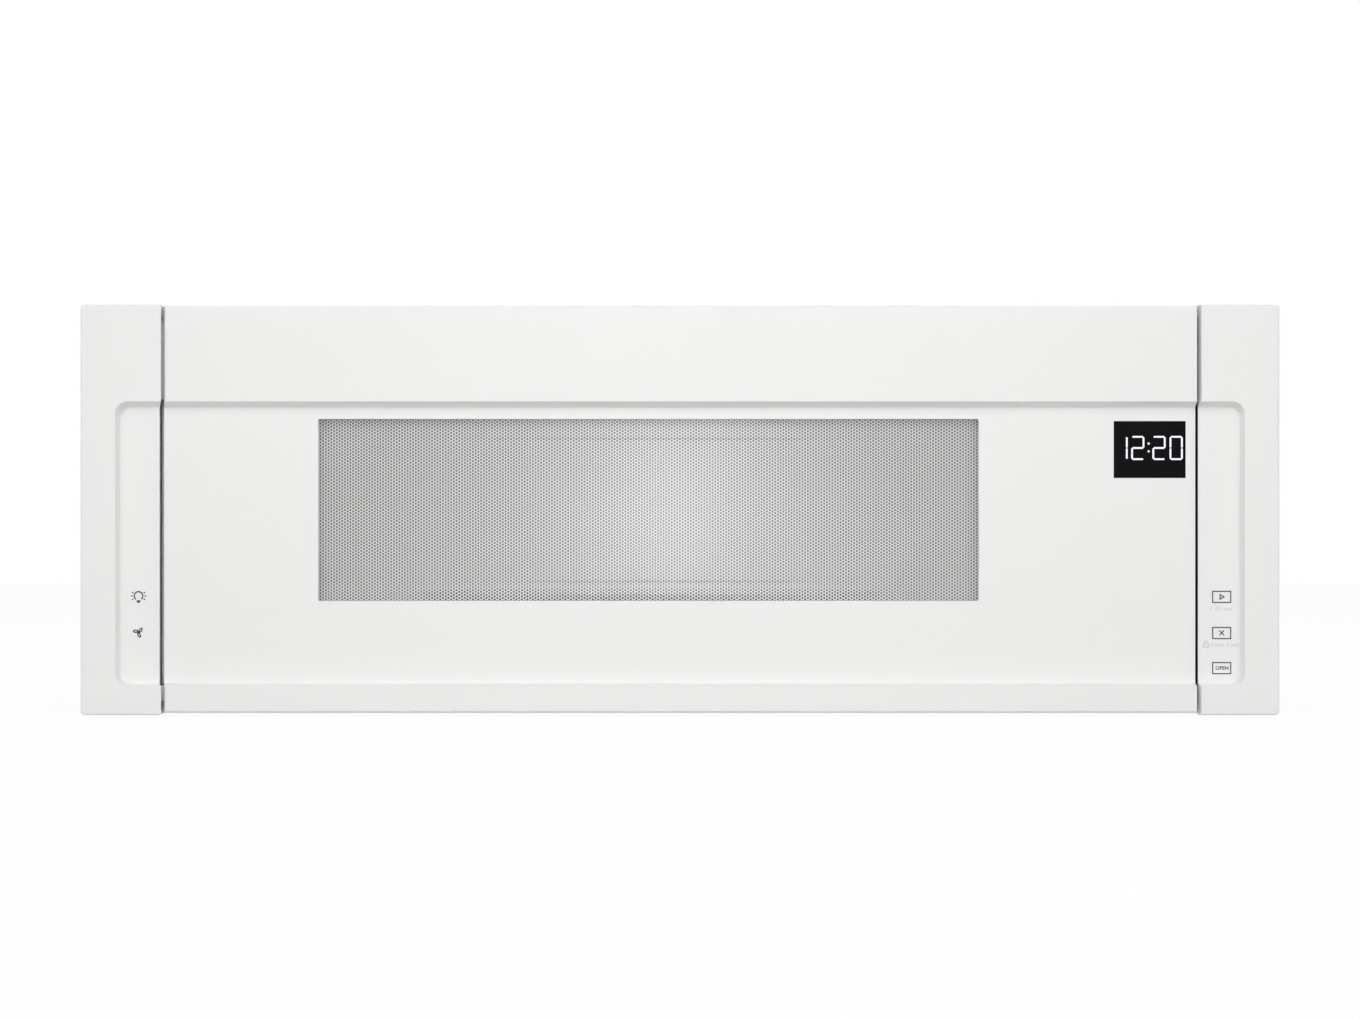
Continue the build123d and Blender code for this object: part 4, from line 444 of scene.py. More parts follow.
def varnished_core():
    # silicon-steel laminations dipped in brown varnish, round windings of lacquered copper wire
    made, tree, shader, place = new_finish("steel_laminations_varnished", linear("3B2D22"), 0.4, metallic=0.2)
    # each lamination is 0.5 mm thick, and light and dark ones take turns, so the bands are 1 mm apart
    leaves = add_node(
        tree,
        "ShaderNodeTexWave",
        {"Vector": place, "Scale": BANDS / (1.0 * MM)},
        bands_direction="Y",
    )
    tone = add_node(
        tree,
        "ShaderNodeMix",
        {0: leaves.outputs["Fac"], 6: linear("2A201A"), 7: linear("57402C")},
        data_type="RGBA",
    )
    # windings of 0.9 mm wire, which show above winding_low, past the core's reach from its middle
    core_middle, core_reach, winding_low = 81.0 * MM, 35.2 * MM, 31.0 * MM
    # each wire fades from dark in the grooves beside it to the copper's own colour along its crown: painted
    # shade between the round wires
    wire = add_node(
        tree,
        "ShaderNodeTexWave",
        {"Vector": place, "Scale": BANDS / (0.9 * MM)},
        bands_direction="Z",
    )
    copper = add_node(
        tree,
        "ShaderNodeMix",
        {0: wire.outputs["Fac"], 6: linear("5A2410"), 7: linear("B0592B")},
        data_type="RGBA",
    )
    apart = add_node(tree, "ShaderNodeSeparateXYZ", {"Vector": place})
    away = add_node(tree, "ShaderNodeMath", {0: apart.outputs["Y"], 1: core_middle}, operation="SUBTRACT")
    reach = add_node(tree, "ShaderNodeMath", {0: away.outputs[0]}, operation="ABSOLUTE")
    tests = []
    for measure, limit in ((reach.outputs[0], core_reach), (apart.outputs["Z"], winding_low)):
        past = add_node(tree, "ShaderNodeMath", {0: measure, 1: limit}, operation="GREATER_THAN")
        tests.append(past.outputs[0])
    wound = add_node(tree, "ShaderNodeMath", {0: tests[0], 1: tests[1]}, operation="MULTIPLY")
    whole = add_node(
        tree,
        "ShaderNodeMix",
        {0: wound.outputs[0], 6: tone.outputs[2], 7: copper.outputs[2]},
        data_type="RGBA",
    )
    tree.links.new(whole.outputs[2], shader.inputs["Base Color"])
    return made


def mica_board():
    # pressed mica flakes about 4 mm across in a silicone binder: pale, flaky, slightly shiny
    made, tree, shader, place = new_finish("mica_pressed", linear("A79B84"), 0.5, ior=1.58)
    flakes = add_node(tree, "ShaderNodeTexVoronoi", {"Vector": place, "Scale": 1 / (4.0 * MM)})
    tone = add_node(
        tree,
        "ShaderNodeMix",
        {0: flakes.outputs["Color"], 6: linear("938770"), 7: linear("C2B79F")},
        data_type="RGBA",
    )
    tree.links.new(tone.outputs[2], shader.inputs["Base Color"])
    return made


def charcoal_fleece():
    # polyester fleece charged with carbon powder: black, matt, with fibres about 1 mm apart
    made, tree, shader, place = new_finish("fleece_charcoal", linear("1B1B1C"), 0.95, ior=1.45)
    fibres = add_node(tree, "ShaderNodeTexNoise", {"Vector": place, "Scale": 1 / (1.2 * MM), "Detail": 6.0})
    tone = add_node(
        tree,
        "ShaderNodeMix",
        {0: fibres.outputs["Fac"], 6: linear("101011"), 7: linear("3A3A3B")},
        data_type="RGBA",
    )
    tree.links.new(tone.outputs[2], shader.inputs["Base Color"])
    bump = add_node(
        tree,
        "ShaderNodeBump",
        {"Height": fibres.outputs["Fac"], "Strength": 0.9, "Distance": 0.5 * MM},
    )
    tree.links.new(bump.outputs["Normal"], shader.inputs["Normal"])
    return made


def soft_rubber():
    # moulded nitrile rubber: dull black with a bloom that lightens it in patches
    made, tree, shader, place = new_finish("rubber_moulded_black", linear("1A1A1A"), 0.75, ior=1.52)
    bloom = add_node(tree, "ShaderNodeTexNoise", {"Vector": place, "Scale": 1 / (5.0 * MM), "Detail": 4.0})
    tone = add_node(
        tree,
        "ShaderNodeMix",
        {0: bloom.outputs["Fac"], 6: linear("131313"), 7: linear("2A2A2A")},
        data_type="RGBA",
    )
    tree.links.new(tone.outputs[2], shader.inputs["Base Color"])
    return made


def cell_foam():
    # closed-cell foam strip: pale grey, matt, with cut cells about 0.5 mm across
    made, tree, shader, place = new_finish("foam_closed_cell_grey", linear("DADADA"), 0.9, ior=1.4)
    cells = add_node(tree, "ShaderNodeTexVoronoi", {"Vector": place, "Scale": 1 / (0.5 * MM)})
    tone = add_node(
        tree,
        "ShaderNodeMix",
        {0: cells.outputs["Distance"], 6: linear("E0E0E0"), 7: linear("CACACA")},
        data_type="RGBA",
    )
    tree.links.new(tone.outputs[2], shader.inputs["Base Color"])
    bump = add_node(
        tree,
        "ShaderNodeBump",
        {"Height": cells.outputs["Distance"], "Strength": 0.5, "Distance": 0.1 * MM},
    )
    tree.links.new(bump.outputs["Normal"], shader.inputs["Normal"])
    return made


def printed_ink(name, colour):
    # screen-printed ink, a few microns proud: matt, slightly thin where the mesh held it back
    made, tree, shader, place = new_finish(name, colour, 0.55, ior=1.5)
    weave = add_node(tree, "ShaderNodeTexNoise", {"Vector": place, "Scale": 1 / (0.3 * MM)})
    tone = add_node(
        tree,
        "ShaderNodeMix",
        {0: weave.outputs["Fac"], 6: colour, 7: [c * 1.12 for c in colour]},
        data_type="RGBA",
    )
    tree.links.new(tone.outputs[2], shader.inputs["Base Color"])
    return made


def lit_segments(colour):
    # light-emitting bars as seen through the lens: even white glow with the faintest blue cast
    made, tree, shader, place = new_finish("diode_segment_lit", linear("0A0A0C"), 0.4)
    shader.inputs["Emission Color"].default_value = (*colour, 1.0)
    shader.inputs["Emission Strength"].default_value = 1.1
    glow = add_node(tree, "ShaderNodeTexNoise", {"Vector": place, "Scale": 1 / (3.0 * MM)})
    tone = add_node(
        tree,
        "ShaderNodeMix",
        {0: glow.outputs["Fac"], 6: [c * 0.94 for c in colour], 7: colour},
        data_type="RGBA",
    )
    tree.links.new(tone.outputs[2], shader.inputs["Emission Color"])
    return made


def directly_seen(tree):
    """1 for rays that show a surface or its reflection, and 0 for rays that only carry its light."""
    rays = add_node(tree, "ShaderNodeLightPath")
    seen = rays.outputs["Is Camera Ray"]
    for kind in ("Is Glossy Ray", "Is Transmission Ray"):
        either = add_node(tree, "ShaderNodeMath", {0: seen, 1: rays.outputs[kind]}, operation="MAXIMUM")
        seen = either.outputs[0]
    return seen


# ---------------------------------------------------------------- modelling helpers


def only(piece):
    """Selects that piece and nothing else, and makes it active."""
    bpy.ops.object.select_all(action="DESELECT")
    piece.select_set(True)
    bpy.context.view_layer.objects.active = piece
    return piece


def just_made(name):
    """Names the object that the last operator added."""
    piece = bpy.context.object
    piece.name = name
    piece.data.name = name
    return only(piece)


def set_home(piece):
    """Moves the piece's place into its mesh, so that its object sits at the origin, unturned."""
    only(piece)
    bpy.ops.object.transform_apply(location=True, rotation=True, scale=True)


def pick(piece, test, mode="VERT"):
    """In edit mode, selects the vertices or faces whose place passes the test."""
    bpy.ops.mesh.select_mode(type=mode)
    bpy.ops.mesh.select_all(action="DESELECT")
    bpy.ops.object.mode_set(mode="OBJECT")
    elements = piece.data.vertices if mode == "VERT" else piece.data.polygons
    for element in elements:
        element.select = test(element.co if mode == "VERT" else element.center)
    bpy.ops.object.mode_set(mode="EDIT")


def edit_all():
    """Opens the active piece's mesh with all of it selected."""
    bpy.ops.object.mode_set(mode="EDIT")
    bpy.ops.mesh.select_all(action="SELECT")


def face_out(piece):
    """Merges doubles and turns every face outwards."""
    only(piece)
    edit_all()
    bpy.ops.mesh.remove_doubles(threshold=0.002 * MM)
    bpy.ops.mesh.normals_make_consistent(inside=False)
    bpy.ops.object.mode_set(mode="OBJECT")


def modify(piece, kind, **settings):
    """Adds a modifier with those settings and applies it."""
    only(piece)
    made = piece.modifiers.new(kind.lower(), kind)
    for key, value in settings.items():
        setattr(made, key, value)
    bpy.ops.object.modifier_apply(modifier=made.name)


def joined(pieces, name):
    """Joins the pieces into one object of that name."""
    bpy.ops.object.select_all(action="DESELECT")
    for piece in pieces:
        piece.select_set(True)
    bpy.context.view_layer.objects.active = pieces[0]
    if len(pieces) > 1:
        bpy.ops.object.join()
    whole = bpy.context.object
    whole.name = name
    whole.data.name = name
    return whole


def copy_at(piece, offset):
    """A copy of the piece with its own mesh, moved by the offset."""
    only(piece)
    bpy.ops.object.duplicate(linked=False)
    twin = bpy.context.object
    bpy.ops.transform.translate(value=offset)
    return twin


def open_cell(centre, grow, step, merge):
    """Makes the rim of one opening from the active outline, and its neighbour one step away."""
    edit_all()
    bpy.ops.mesh.extrude_region()
    bpy.ops.transform.resize(value=grow, center_override=centre)
    bpy.ops.mesh.select_all(action="SELECT")
    bpy.ops.mesh.duplicate()
    bpy.ops.transform.translate(value=step)
    bpy.ops.mesh.select_all(action="SELECT")
    bpy.ops.mesh.remove_doubles(threshold=merge)
    bpy.ops.object.mode_set(mode="OBJECT")


def repeat(piece, count, step, merge):
    """Repeats the piece so many times, a step apart, and merges what meets."""
    modify(
        piece,
        "ARRAY",
        count=count,
        use_relative_offset=False,
        use_constant_offset=True,
        constant_offset_displace=step,
        use_merge_vertices=True,
        merge_threshold=merge,
    )


def thicken(piece, thickness):
    """Gives a flat sheet its thickness, half of it to each side."""
    face_out(piece)
    modify(piece, "SOLIDIFY", thickness=thickness, offset=0)
    face_out(piece)


def finish_piece(piece, finish, body):
    """Gives the piece its material and its body."""
    piece.data.materials.clear()
    piece.data.materials.append(finish)
    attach(piece, body)
    return piece


# ---------------------------------------------------------------- operators


class OVEN_OT_finish_frame(bpy.types.Operator):
    """Gives every CAD node the finish of the real part"""

    bl_idname = "oven.finish_frame"
    bl_label = "Finish the frame"

    def execute(self, context):
        colours = context.scene.oven_colours
        finishes = {
            glossy_white_abs(list(colours.moulding)): ["left_end_panel", "right_end_panel", "door_fascia"],
            satin_moulding("polypropylene_moulded_natural", "D9D9D5", 0.5): [
                "vent_grille",
                "interlock_bracket",
                "choke_cover",
                "latch_hooks",
                "turntable_coupler",
                "roller_ring",
                "roller_1",
                "roller_2",
                "roller_3",
            ],
            satin_moulding("abs_moulded_black", "0B0B0C", 0.5, 0.2): [
                "control_housing",
                "blower_housing",
                "blower_wheels",
                "fan_shroud",
                "cooling_fan",
                "interlock_switches",
                "door_opener",
            ],
            powder_coat("steel_powder_coated_white", list(colours.cover)): ["outer_cover", "base_pan"],
            powder_coat("steel_powder_coated_plate", linear("D8D8D5"), 0.4): [
                "front_plate",
                "choke_frame",
                "door_screen",
            ],
            powder_coat("steel_enamelled_cavity", list(colours.cavity), 0.38): [
                "cavity_wrap",
                "cavity_floor",
                "cavity_back",
            ],
            galvanised_sheet(): [
                "rear_panel",
                "mounting_plate",
                "cabinet_bolt_plates",
                "component_shelf",
                "waveguide",
                "cavity_lamp",
            ],
            zinc_plated_steel(): [
                "hinge_bracket_upper",
                "hinge_bracket_lower",
                "hinge_pins",
                "blower_motor",
                "blower_shaft",
                "turntable_motor",
                "magnetron",
                "fan_motor",
                "latch_spring",
                "opener_plunger",
            ],
            mill_aluminium(): ["hv_capacitor"],
            filter_aluminium(): ["grease_filter_left", "grease_filter_right"],
            thin_pane(): ["window_pane", "inner_window"],
            solder_mask(): ["touch_boards", "display_module", "cooktop_lamps", "power_board"],
            tray_glass(): ["glass_tray"],
            display_acrylic(): ["display_lens"],
            prismatic_lens(): ["light_lenses"],
            varnished_core(): ["hv_transformer"],
            mica_board(): ["waveguide_cover"],
            charcoal_fleece(): ["charcoal_filter"],
            soft_rubber(): ["cord_grommet"],
        }
        for finish, names in finishes.items():
            for name in names:
                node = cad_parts[name]
                node.data.materials.clear()
                node.data.materials.append(finish)
        bare = [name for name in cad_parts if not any(name in names for names in finishes.values())]
        if bare:
            raise RuntimeError(f"nodes with no finish: {bare}")
        return {"FINISHED"}


class OVEN_OT_perforated_screen(bpy.types.Operator):
    """Makes the door's perforated screen from one hole, repeated, and its plain border"""

    bl_idname = "oven.perforated_screen"
    bl_label = "Perforated screen"

    def execute(self, context):
        sizes = context.scene.oven_sizes
        pitch, hole = sizes.hole_pitch, sizes.hole_radius
        # side of the six-sided cell round each hole, how many there are and the middle of them all
        cell = pitch / math.sqrt(3)
        strips, columns, rows = 4, 32, 62
        centre_x, centre_z = -20.0 * MM, 130.15 * MM
        merge = 0.005 * MM
        sheet_thick, border_thick = 0.35 * MM, 0.14 * MM
        low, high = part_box("door_screen")
        front_y = low[1]
        start_x = centre_x - strips * columns * 1.5 * cell + 0.75 * cell
        start_z = centre_z - rows * pitch / 2
        finish = powder_coat("steel_screen_coated_grey_white", linear("FBFBFA"), 0.5)
        # one hole with its six-sided surround, and its neighbour in the next column
        bpy.ops.object.select_all(action="DESELECT")
        bpy.ops.mesh.primitive_circle_add(
            vertices=6,
            radius=hole,
            fill_type="NOTHING",
            location=(start_x, front_y, start_z),
            rotation=(math.pi / 2, math.pi / 6, 0),
        )
        tile = just_made("door_screen_holes_1")
        grow = cell / hole
        step = (1.5 * cell, 0, pitch / 2)
        open_cell((start_x, front_y, start_z), (grow, 1, grow), step, merge)
        set_home(tile)
        repeat(tile, rows, (0, 0, pitch), merge)
        repeat(tile, columns, (3 * cell, 0, 0), merge)
        thicken(tile, sheet_thick)
        bpy.ops.transform.translate(value=(0, sheet_thick / 2, 0))
        set_home(tile)
        holes = [tile]
        for strip in range(1, strips):
            twin = copy_at(tile, (strip * columns * 3 * cell, 0, 0))
            twin.name = twin.data.name = f"door_screen_holes_{strip + 1}"
            set_home(twin)
            holes.append(twin)
        # plain border, just behind the sheet: the width that its rim starts with, and how far from the
        # middle its inner edge then lies, so that it closes the outermost holes
        rim, edge_x, edge_z = 20.0 * MM, 219.6 * MM, 60.0 * MM
        bpy.ops.object.select_all(action="DESELECT")
        bpy.ops.mesh.primitive_plane_add(
            size=1,
            location=((low[0] + high[0]) / 2, front_y + sheet_thick + 0.01 * MM, (low[2] + high[2]) / 2),
            rotation=(math.pi / 2, 0, 0),
        )
        border = just_made("door_screen_border")
        border.scale = (high[0] - low[0], high[2] - low[2], 1)
        set_home(border)
        edit_all()
        bpy.ops.mesh.inset(thickness=rim, depth=0)
        bpy.ops.mesh.delete(type="ONLY_FACE")
        for axis, here, there in (
            (0, low[0] + rim, centre_x - edge_x),
            (0, high[0] - rim, centre_x + edge_x),
            (2, low[2] + rim, centre_z - edge_z),
            (2, high[2] - rim, centre_z + edge_z),
        ):
            pick(border, lambda co: abs(co[axis] - here) < 1 * MM)
            shift = [0.0, 0.0, 0.0]
            shift[axis] = there - here
            bpy.ops.transform.translate(value=shift)
        bpy.ops.object.mode_set(mode="OBJECT")
        thicken(border, border_thick)
        for piece in [*holes, border]:
            finish_piece(piece, finish, "door")
        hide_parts("door_screen")
        return {"FINISHED"}


class OVEN_OT_clock_digits(bpy.types.Operator):
    """Makes the lit bars of the clock on the front of its black lens"""

    bl_idname = "oven.clock_digits"
    bl_label = "Clock digits"

    # bars of each digit, where a to g are top, upper right, lower right, bottom, lower left, upper left
    # and middle
    bars_of = {"1": "bc", "2": "abged", "0": "abcdef"}

    def bar(self, x, z, length, upright, stroke):
        """One pointed bar, centred there, lying along x or standing along z."""
        radius = stroke / math.sqrt(3)
        bpy.ops.object.select_all(action="DESELECT")
        bpy.ops.mesh.primitive_circle_add(
            vertices=6, radius=radius, fill_type="NGON", rotation=(0, 0, math.pi / 6)
        )
        piece = just_made("bar")
        set_home(piece)
        bpy.ops.object.mode_set(mode="EDIT")
        for side in (-1, 1):
            pick(piece, lambda co: co.x * side > 0)
            bpy.ops.transform.translate(value=(side * (length / 2 - radius), 0, 0))
        bpy.ops.object.mode_set(mode="OBJECT")
        piece.rotation_euler = (math.pi / 2, math.pi / 2 if upright else 0, 0)
        piece.location = (x, RECESS_FACE - 0.02 * MM, z)
        set_home(piece)
        return piece

    def execute(self, context):
        height = context.scene.oven_sizes.digit_height
        stroke, width, middle_z = 1.12 * MM, 8.4 * MM, 169.5 * MM
        # the space left between neighbouring bars, and the two dots' length, thickness and places
        space = 0.25 * MM
        dot_long, dot_thick, dot_x = 1.5 * MM, 1.3 * MM, 297.7 * MM
        reach = (height - stroke) / 2
        across = width - stroke
        pieces = []
        for digit, left in (("1", 276.0), ("2", 286.6), ("2", 300.1), ("0", 311.0)):
            centre = left * MM + width / 2
            places = {
                "a": (centre, middle_z + reach, across, False),
                "g": (centre, middle_z, across, False),
                "d": (centre, middle_z - reach, across, False),
                "b": (centre + across / 2, middle_z + reach / 2, reach, True),
                "c": (centre + across / 2, middle_z - reach / 2, reach, True),
                "f": (centre - across / 2, middle_z + reach / 2, reach, True),
                "e": (centre - across / 2, middle_z - reach / 2, reach, True),
            }
            for name in self.bars_of[digit]:
                x, z, length, upright = places[name]
                pieces.append(self.bar(x, z, length - space, upright, stroke))
        for dot_z in (172.3 * MM, 167.4 * MM):
            pieces.append(self.bar(dot_x, dot_z, dot_long, False, dot_thick))
        digits = joined(pieces, "clock_digits")
        modify(digits, "SOLIDIFY", thickness=0.1 * MM, offset=0)
        face_out(digits)
        finish = lit_segments(list(context.scene.oven_colours.digits))
        finish_piece(digits, finish, "door")
        return {"FINISHED"}


class OVEN_OT_touch_symbols(bpy.types.Operator):
    """Makes the printed symbols of the touch areas on both end panels"""

    bl_idname = "oven.touch_symbols"
    bl_label = "Touch symbols"

    ink_y = RECESS_FACE - 0.01 * MM

    def stand(self, piece, x, z, turn=0.0):
        """Stands the flat piece against the recess, at that place and turn."""
        piece.rotation_euler = (math.pi / 2, -turn, 0)
        piece.location = (x, self.ink_y, z)
        set_home(piece)
        return piece

    def hollow(self):
        """Leaves only a stroke along the edge of the active flat shape, in edit mode."""
        edit_all()
        bpy.ops.mesh.inset(thickness=self.stroke, depth=0)
        bpy.ops.mesh.delete(type="FACE")

    def ring(self, x, z, radius, vertices, turn=0.0, squeeze=(1.0, 1.0), cut_low=None):
        """A printed outline: a circle, a triangle or a squeezed circle, left open below cut_low."""
        bpy.ops.object.select_all(action="DESELECT")
        bpy.ops.mesh.primitive_circle_add(vertices=vertices, radius=radius, fill_type="NGON")
        piece = just_made("ring")
        piece.scale = (squeeze[0], squeeze[1], 1)
        set_home(piece)
        self.hollow()
        if cut_low is not None:
            pick(piece, lambda centre: centre.y < cut_low, "FACE")
            bpy.ops.mesh.delete(type="FACE")
        bpy.ops.object.mode_set(mode="OBJECT")
        return self.stand(piece, x, z, turn)

    def disc(self, x, z, radius):
        """A printed filled dot."""
        bpy.ops.object.select_all(action="DESELECT")
        bpy.ops.mesh.primitive_circle_add(vertices=16, radius=radius, fill_type="NGON")
        return self.stand(just_made("disc"), x, z)

    def line(self, x, z, length, turn=0.0):
        """A printed straight stroke, centred there."""
        bpy.ops.object.select_all(action="DESELECT")
        bpy.ops.mesh.primitive_plane_add(size=1)
        piece = just_made("line")
        piece.scale = (length, self.stroke, 1)
        return self.stand(piece, x, z, turn)

    def box(self, x, z, width, height):
        """A printed rectangular outline."""
        bpy.ops.object.select_all(action="DESELECT")
        bpy.ops.mesh.primitive_plane_add(size=1)
        piece = just_made("box")
        piece.scale = (width, height, 1)
        set_home(piece)
        self.hollow()
        bpy.ops.object.mode_set(mode="OBJECT")
        return self.stand(piece, x, z)

    def words(self, text, low_x, high_x, low_z, high_z, weight):
        """Printed characters that fill the rectangle between those sides."""
        bpy.ops.object.select_all(action="DESELECT")
        bpy.ops.object.text_add()
        piece = bpy.context.object
        piece.data.body = text
        piece.data.size = high_z - low_z
        piece.data.offset = weight
        piece.data.align_x = "CENTER"
        piece.data.align_y = "CENTER"
        bpy.ops.object.convert(target="MESH")
        piece = just_made("words")
        bpy.ops.object.origin_set(type="ORIGIN_GEOMETRY", center="BOUNDS")
        wide, tall = piece.dimensions[:2]
        piece.scale = ((high_x - low_x) / wide, (high_z - low_z) / tall, 1)
        return self.stand(piece, (low_x + high_x) / 2, (low_z + high_z) / 2)

    def print_group(self, pieces, name, finish):
        """Joins the strokes and gives the ink its few hundredths of a millimetre."""
        whole = joined(pieces, name)
        edit_all()
        bpy.ops.mesh.normals_make_consistent(inside=False)
        bpy.ops.object.mode_set(mode="OBJECT")
        modify(whole, "SOLIDIFY", thickness=0.06 * MM, offset=0)
        face_out(whole)
        finish_piece(whole, finish, "cabinet")

    def execute(self, context):
        fine = context.scene.oven_sizes.stroke
        dark = printed_ink("ink_screen_printed_grey", list(context.scene.oven_colours.ink))
        faint = printed_ink("ink_screen_printed_pale", linear("D2D2D2"))
        # lamp: a bulb open at its neck, a base of two bars and three rays each side, in a bolder stroke
        self.stroke = 1.22 * fine
        x, z = -344.0 * MM, 75.5 * MM
        bulb, reach, ray = 3.15 * MM, 4.25 * MM, 1.0 * MM
        strokes = [
            self.ring(x, z, bulb, 36, cut_low=-2.15 * MM),
            self.line(x, z - bulb, 2.5 * MM),
            self.line(x, z - 4.0 * MM, 1.8 * MM),
        ]
        for side in (-1, 1):
            for lift in (-30, 0, 30):
                turn = math.radians(lift) if side > 0 else math.pi - math.radians(lift)
                strokes.append(self.line(x + reach * math.cos(turn), z + reach * math.sin(turn), ray, turn))
        self.print_group(strokes, "lamp_symbol", dark)
        # fan: three long blades about a dark hub
        self.stroke = 1.1 * fine
        z = 52.5 * MM
        reach, blade_half, sweep = 1.85 * MM, 1.8 * MM, 0.28
        strokes = [self.disc(x, z, 0.8 * MM)]
        for blade in range(3):
            turn = math.radians(58 + 120 * blade)
            blade_x = x + reach * math.cos(turn - sweep)
            blade_z = z + reach * math.sin(turn - sweep)
            strokes.append(self.ring(blade_x, blade_z, blade_half, 24, turn, (1.0, 0.6)))
        self.print_group(strokes, "fan_symbol", dark)
        # start, cancel and open areas, each in its box
        self.stroke = fine
        x = 344.1 * MM
        box_wide, box_tall = 12.2 * MM, 7.75 * MM
        arrow_radius, cross_long = 2.35 * MM, 4.4 * MM
        for name, z in (("start", 74.9 * MM), ("cancel", 51.92 * MM), ("open", 29.64 * MM)):
            strokes = [self.box(x, z, box_wide, box_tall)]
            if name == "start":
                strokes.append(self.ring(x - 0.15 * MM, z, arrow_radius, 3, -math.pi / 2))
            elif name == "cancel":
                for turn in (math.pi / 4, -math.pi / 4):
                    strokes.append(self.line(x, z + 0.2 * MM, cross_long, turn))
            else:
                strokes.append(self.words("OPEN", 340.2 * MM, 348.4 * MM, 28.55 * MM, 30.9 * MM, 0.06 * MM))
            self.print_group(strokes, f"{name}_symbol", dark)
        # pale notes below the first two, the second after a small padlock
        strokes = [self.words("+ 30 sec", 336.2 * MM, 350.5 * MM, 66.27 * MM, 68.76 * MM, 0.02 * MM)]
        self.print_group(strokes, "start_note", faint)
        x = 334.15 * MM
        strokes = [
            self.box(x, 44.05 * MM, 4.1 * MM, 2.7 * MM),
            self.ring(x, 45.45 * MM, 1.6 * MM, 20, cut_low=0.2 * MM),
            self.words("Hold 3 sec", 337.6 * MM, 355.2 * MM, 43.4 * MM, 45.87 * MM, 0.02 * MM),
        ]
        self.print_group(strokes, "cancel_note", faint)
        return {"FINISHED"}


class OVEN_OT_gap_seal(bpy.types.Operator):
    """Sticks foam into the gap at the door's hinge side: a thin strip and two thicker pads"""

    bl_idname = "oven.gap_seal"
    bl_label = "Gap seal"

    def execute(self, context):
        foam = cell_foam()
        back_y = LIP_FACE - 0.02 * MM
        # each front is a little proud inside a narrow border, and its edges are rounded
        border, crown, rounding = 0.35 * MM, 0.15 * MM, 0.1 * MM
        # name, left and right sides, lower and upper ends, thickness, all in mm; they lie on the draught
        # lip's front, and the pads keep clear of the hinge arms at z 4.3 to 6.8 and 252.5 to 255.0
        for name, left, right, low, high, thick in (
            ("gap_seal", -329.9, -327.72, 19.8, 200.0, 0.5),
            ("gap_pad_upper", -329.6, -327.72, 200.6, 250.6, 10.2),
            ("gap_pad_lower", -329.6, -327.72, 8.8, 18.6, 10.2),
        ):
            bpy.ops.object.select_all(action="DESELECT")
            bpy.ops.mesh.primitive_cube_add(
                size=1,
                location=(
                    (left + right) / 2 * MM,
                    back_y - thick / 2 * MM,
                    (low + high) / 2 * MM,
                ),
            )
            strip = just_made(name)
            strip.scale = ((right - left) * MM, thick * MM, (high - low) * MM)
            set_home(strip)
            bpy.ops.object.mode_set(mode="EDIT")
            pick(strip, lambda centre: centre.y < back_y - 0.9 * thick * MM, "FACE")
            bpy.ops.mesh.inset(thickness=border, depth=0)
            bpy.ops.transform.translate(value=(0, -crown, 0))
            bpy.ops.object.mode_set(mode="OBJECT")
            modify(strip, "BEVEL", width=rounding, segments=2, limit_method="ANGLE")
            face_out(strip)
            finish_piece(strip, foam, "door")
        return {"FINISHED"}


class OVEN_OT_latch_coil(bpy.types.Operator):
    """Winds the small return spring of the latch"""

    bl_idname = "oven.latch_coil"
    bl_label = "Latch spring"

    def execute(self, context):
        low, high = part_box("latch_spring")
        axis = ((low[0] + high[0]) / 2, (low[1] + high[1]) / 2)
        # radius of the wire, radius of the coil to the wire's middle, and number of turns
        wire, coil_radius, turns = 0.35 * MM, 2.4 * MM, 11
        length = high[2] - low[2] - 2 * wire
        bpy.ops.object.select_all(action="DESELECT")
        bpy.ops.mesh.primitive_circle_add(vertices=8, radius=wire, fill_type="NOTHING")
        coil = just_made("latch_coil")
        coil.rotation_euler = (math.pi / 2, 0, 0)
        coil.location = (coil_radius, 0, 0)
        set_home(coil)
        coil.location = (axis[0], axis[1], low[2] + wire)
        modify(
            coil,
            "SCREW",
            axis="Z",
            angle=2 * math.pi,
            screw_offset=length / turns,
            iterations=turns,
            steps=20,
            render_steps=20,
            use_merge_vertices=True,
        )
        set_home(coil)
        bpy.ops.object.mode_set(mode="EDIT")
        bpy.ops.mesh.select_all(action="DESELECT")
        bpy.ops.mesh.select_mode(type="EDGE")
        bpy.ops.mesh.select_non_manifold()
        bpy.ops.mesh.edge_face_add()
        bpy.ops.object.mode_set(mode="OBJECT")
        face_out(coil)
        finish_piece(coil, zinc_plated_steel(), "door")
        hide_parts("latch_spring")
        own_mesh(coil)
        return {"FINISHED"}


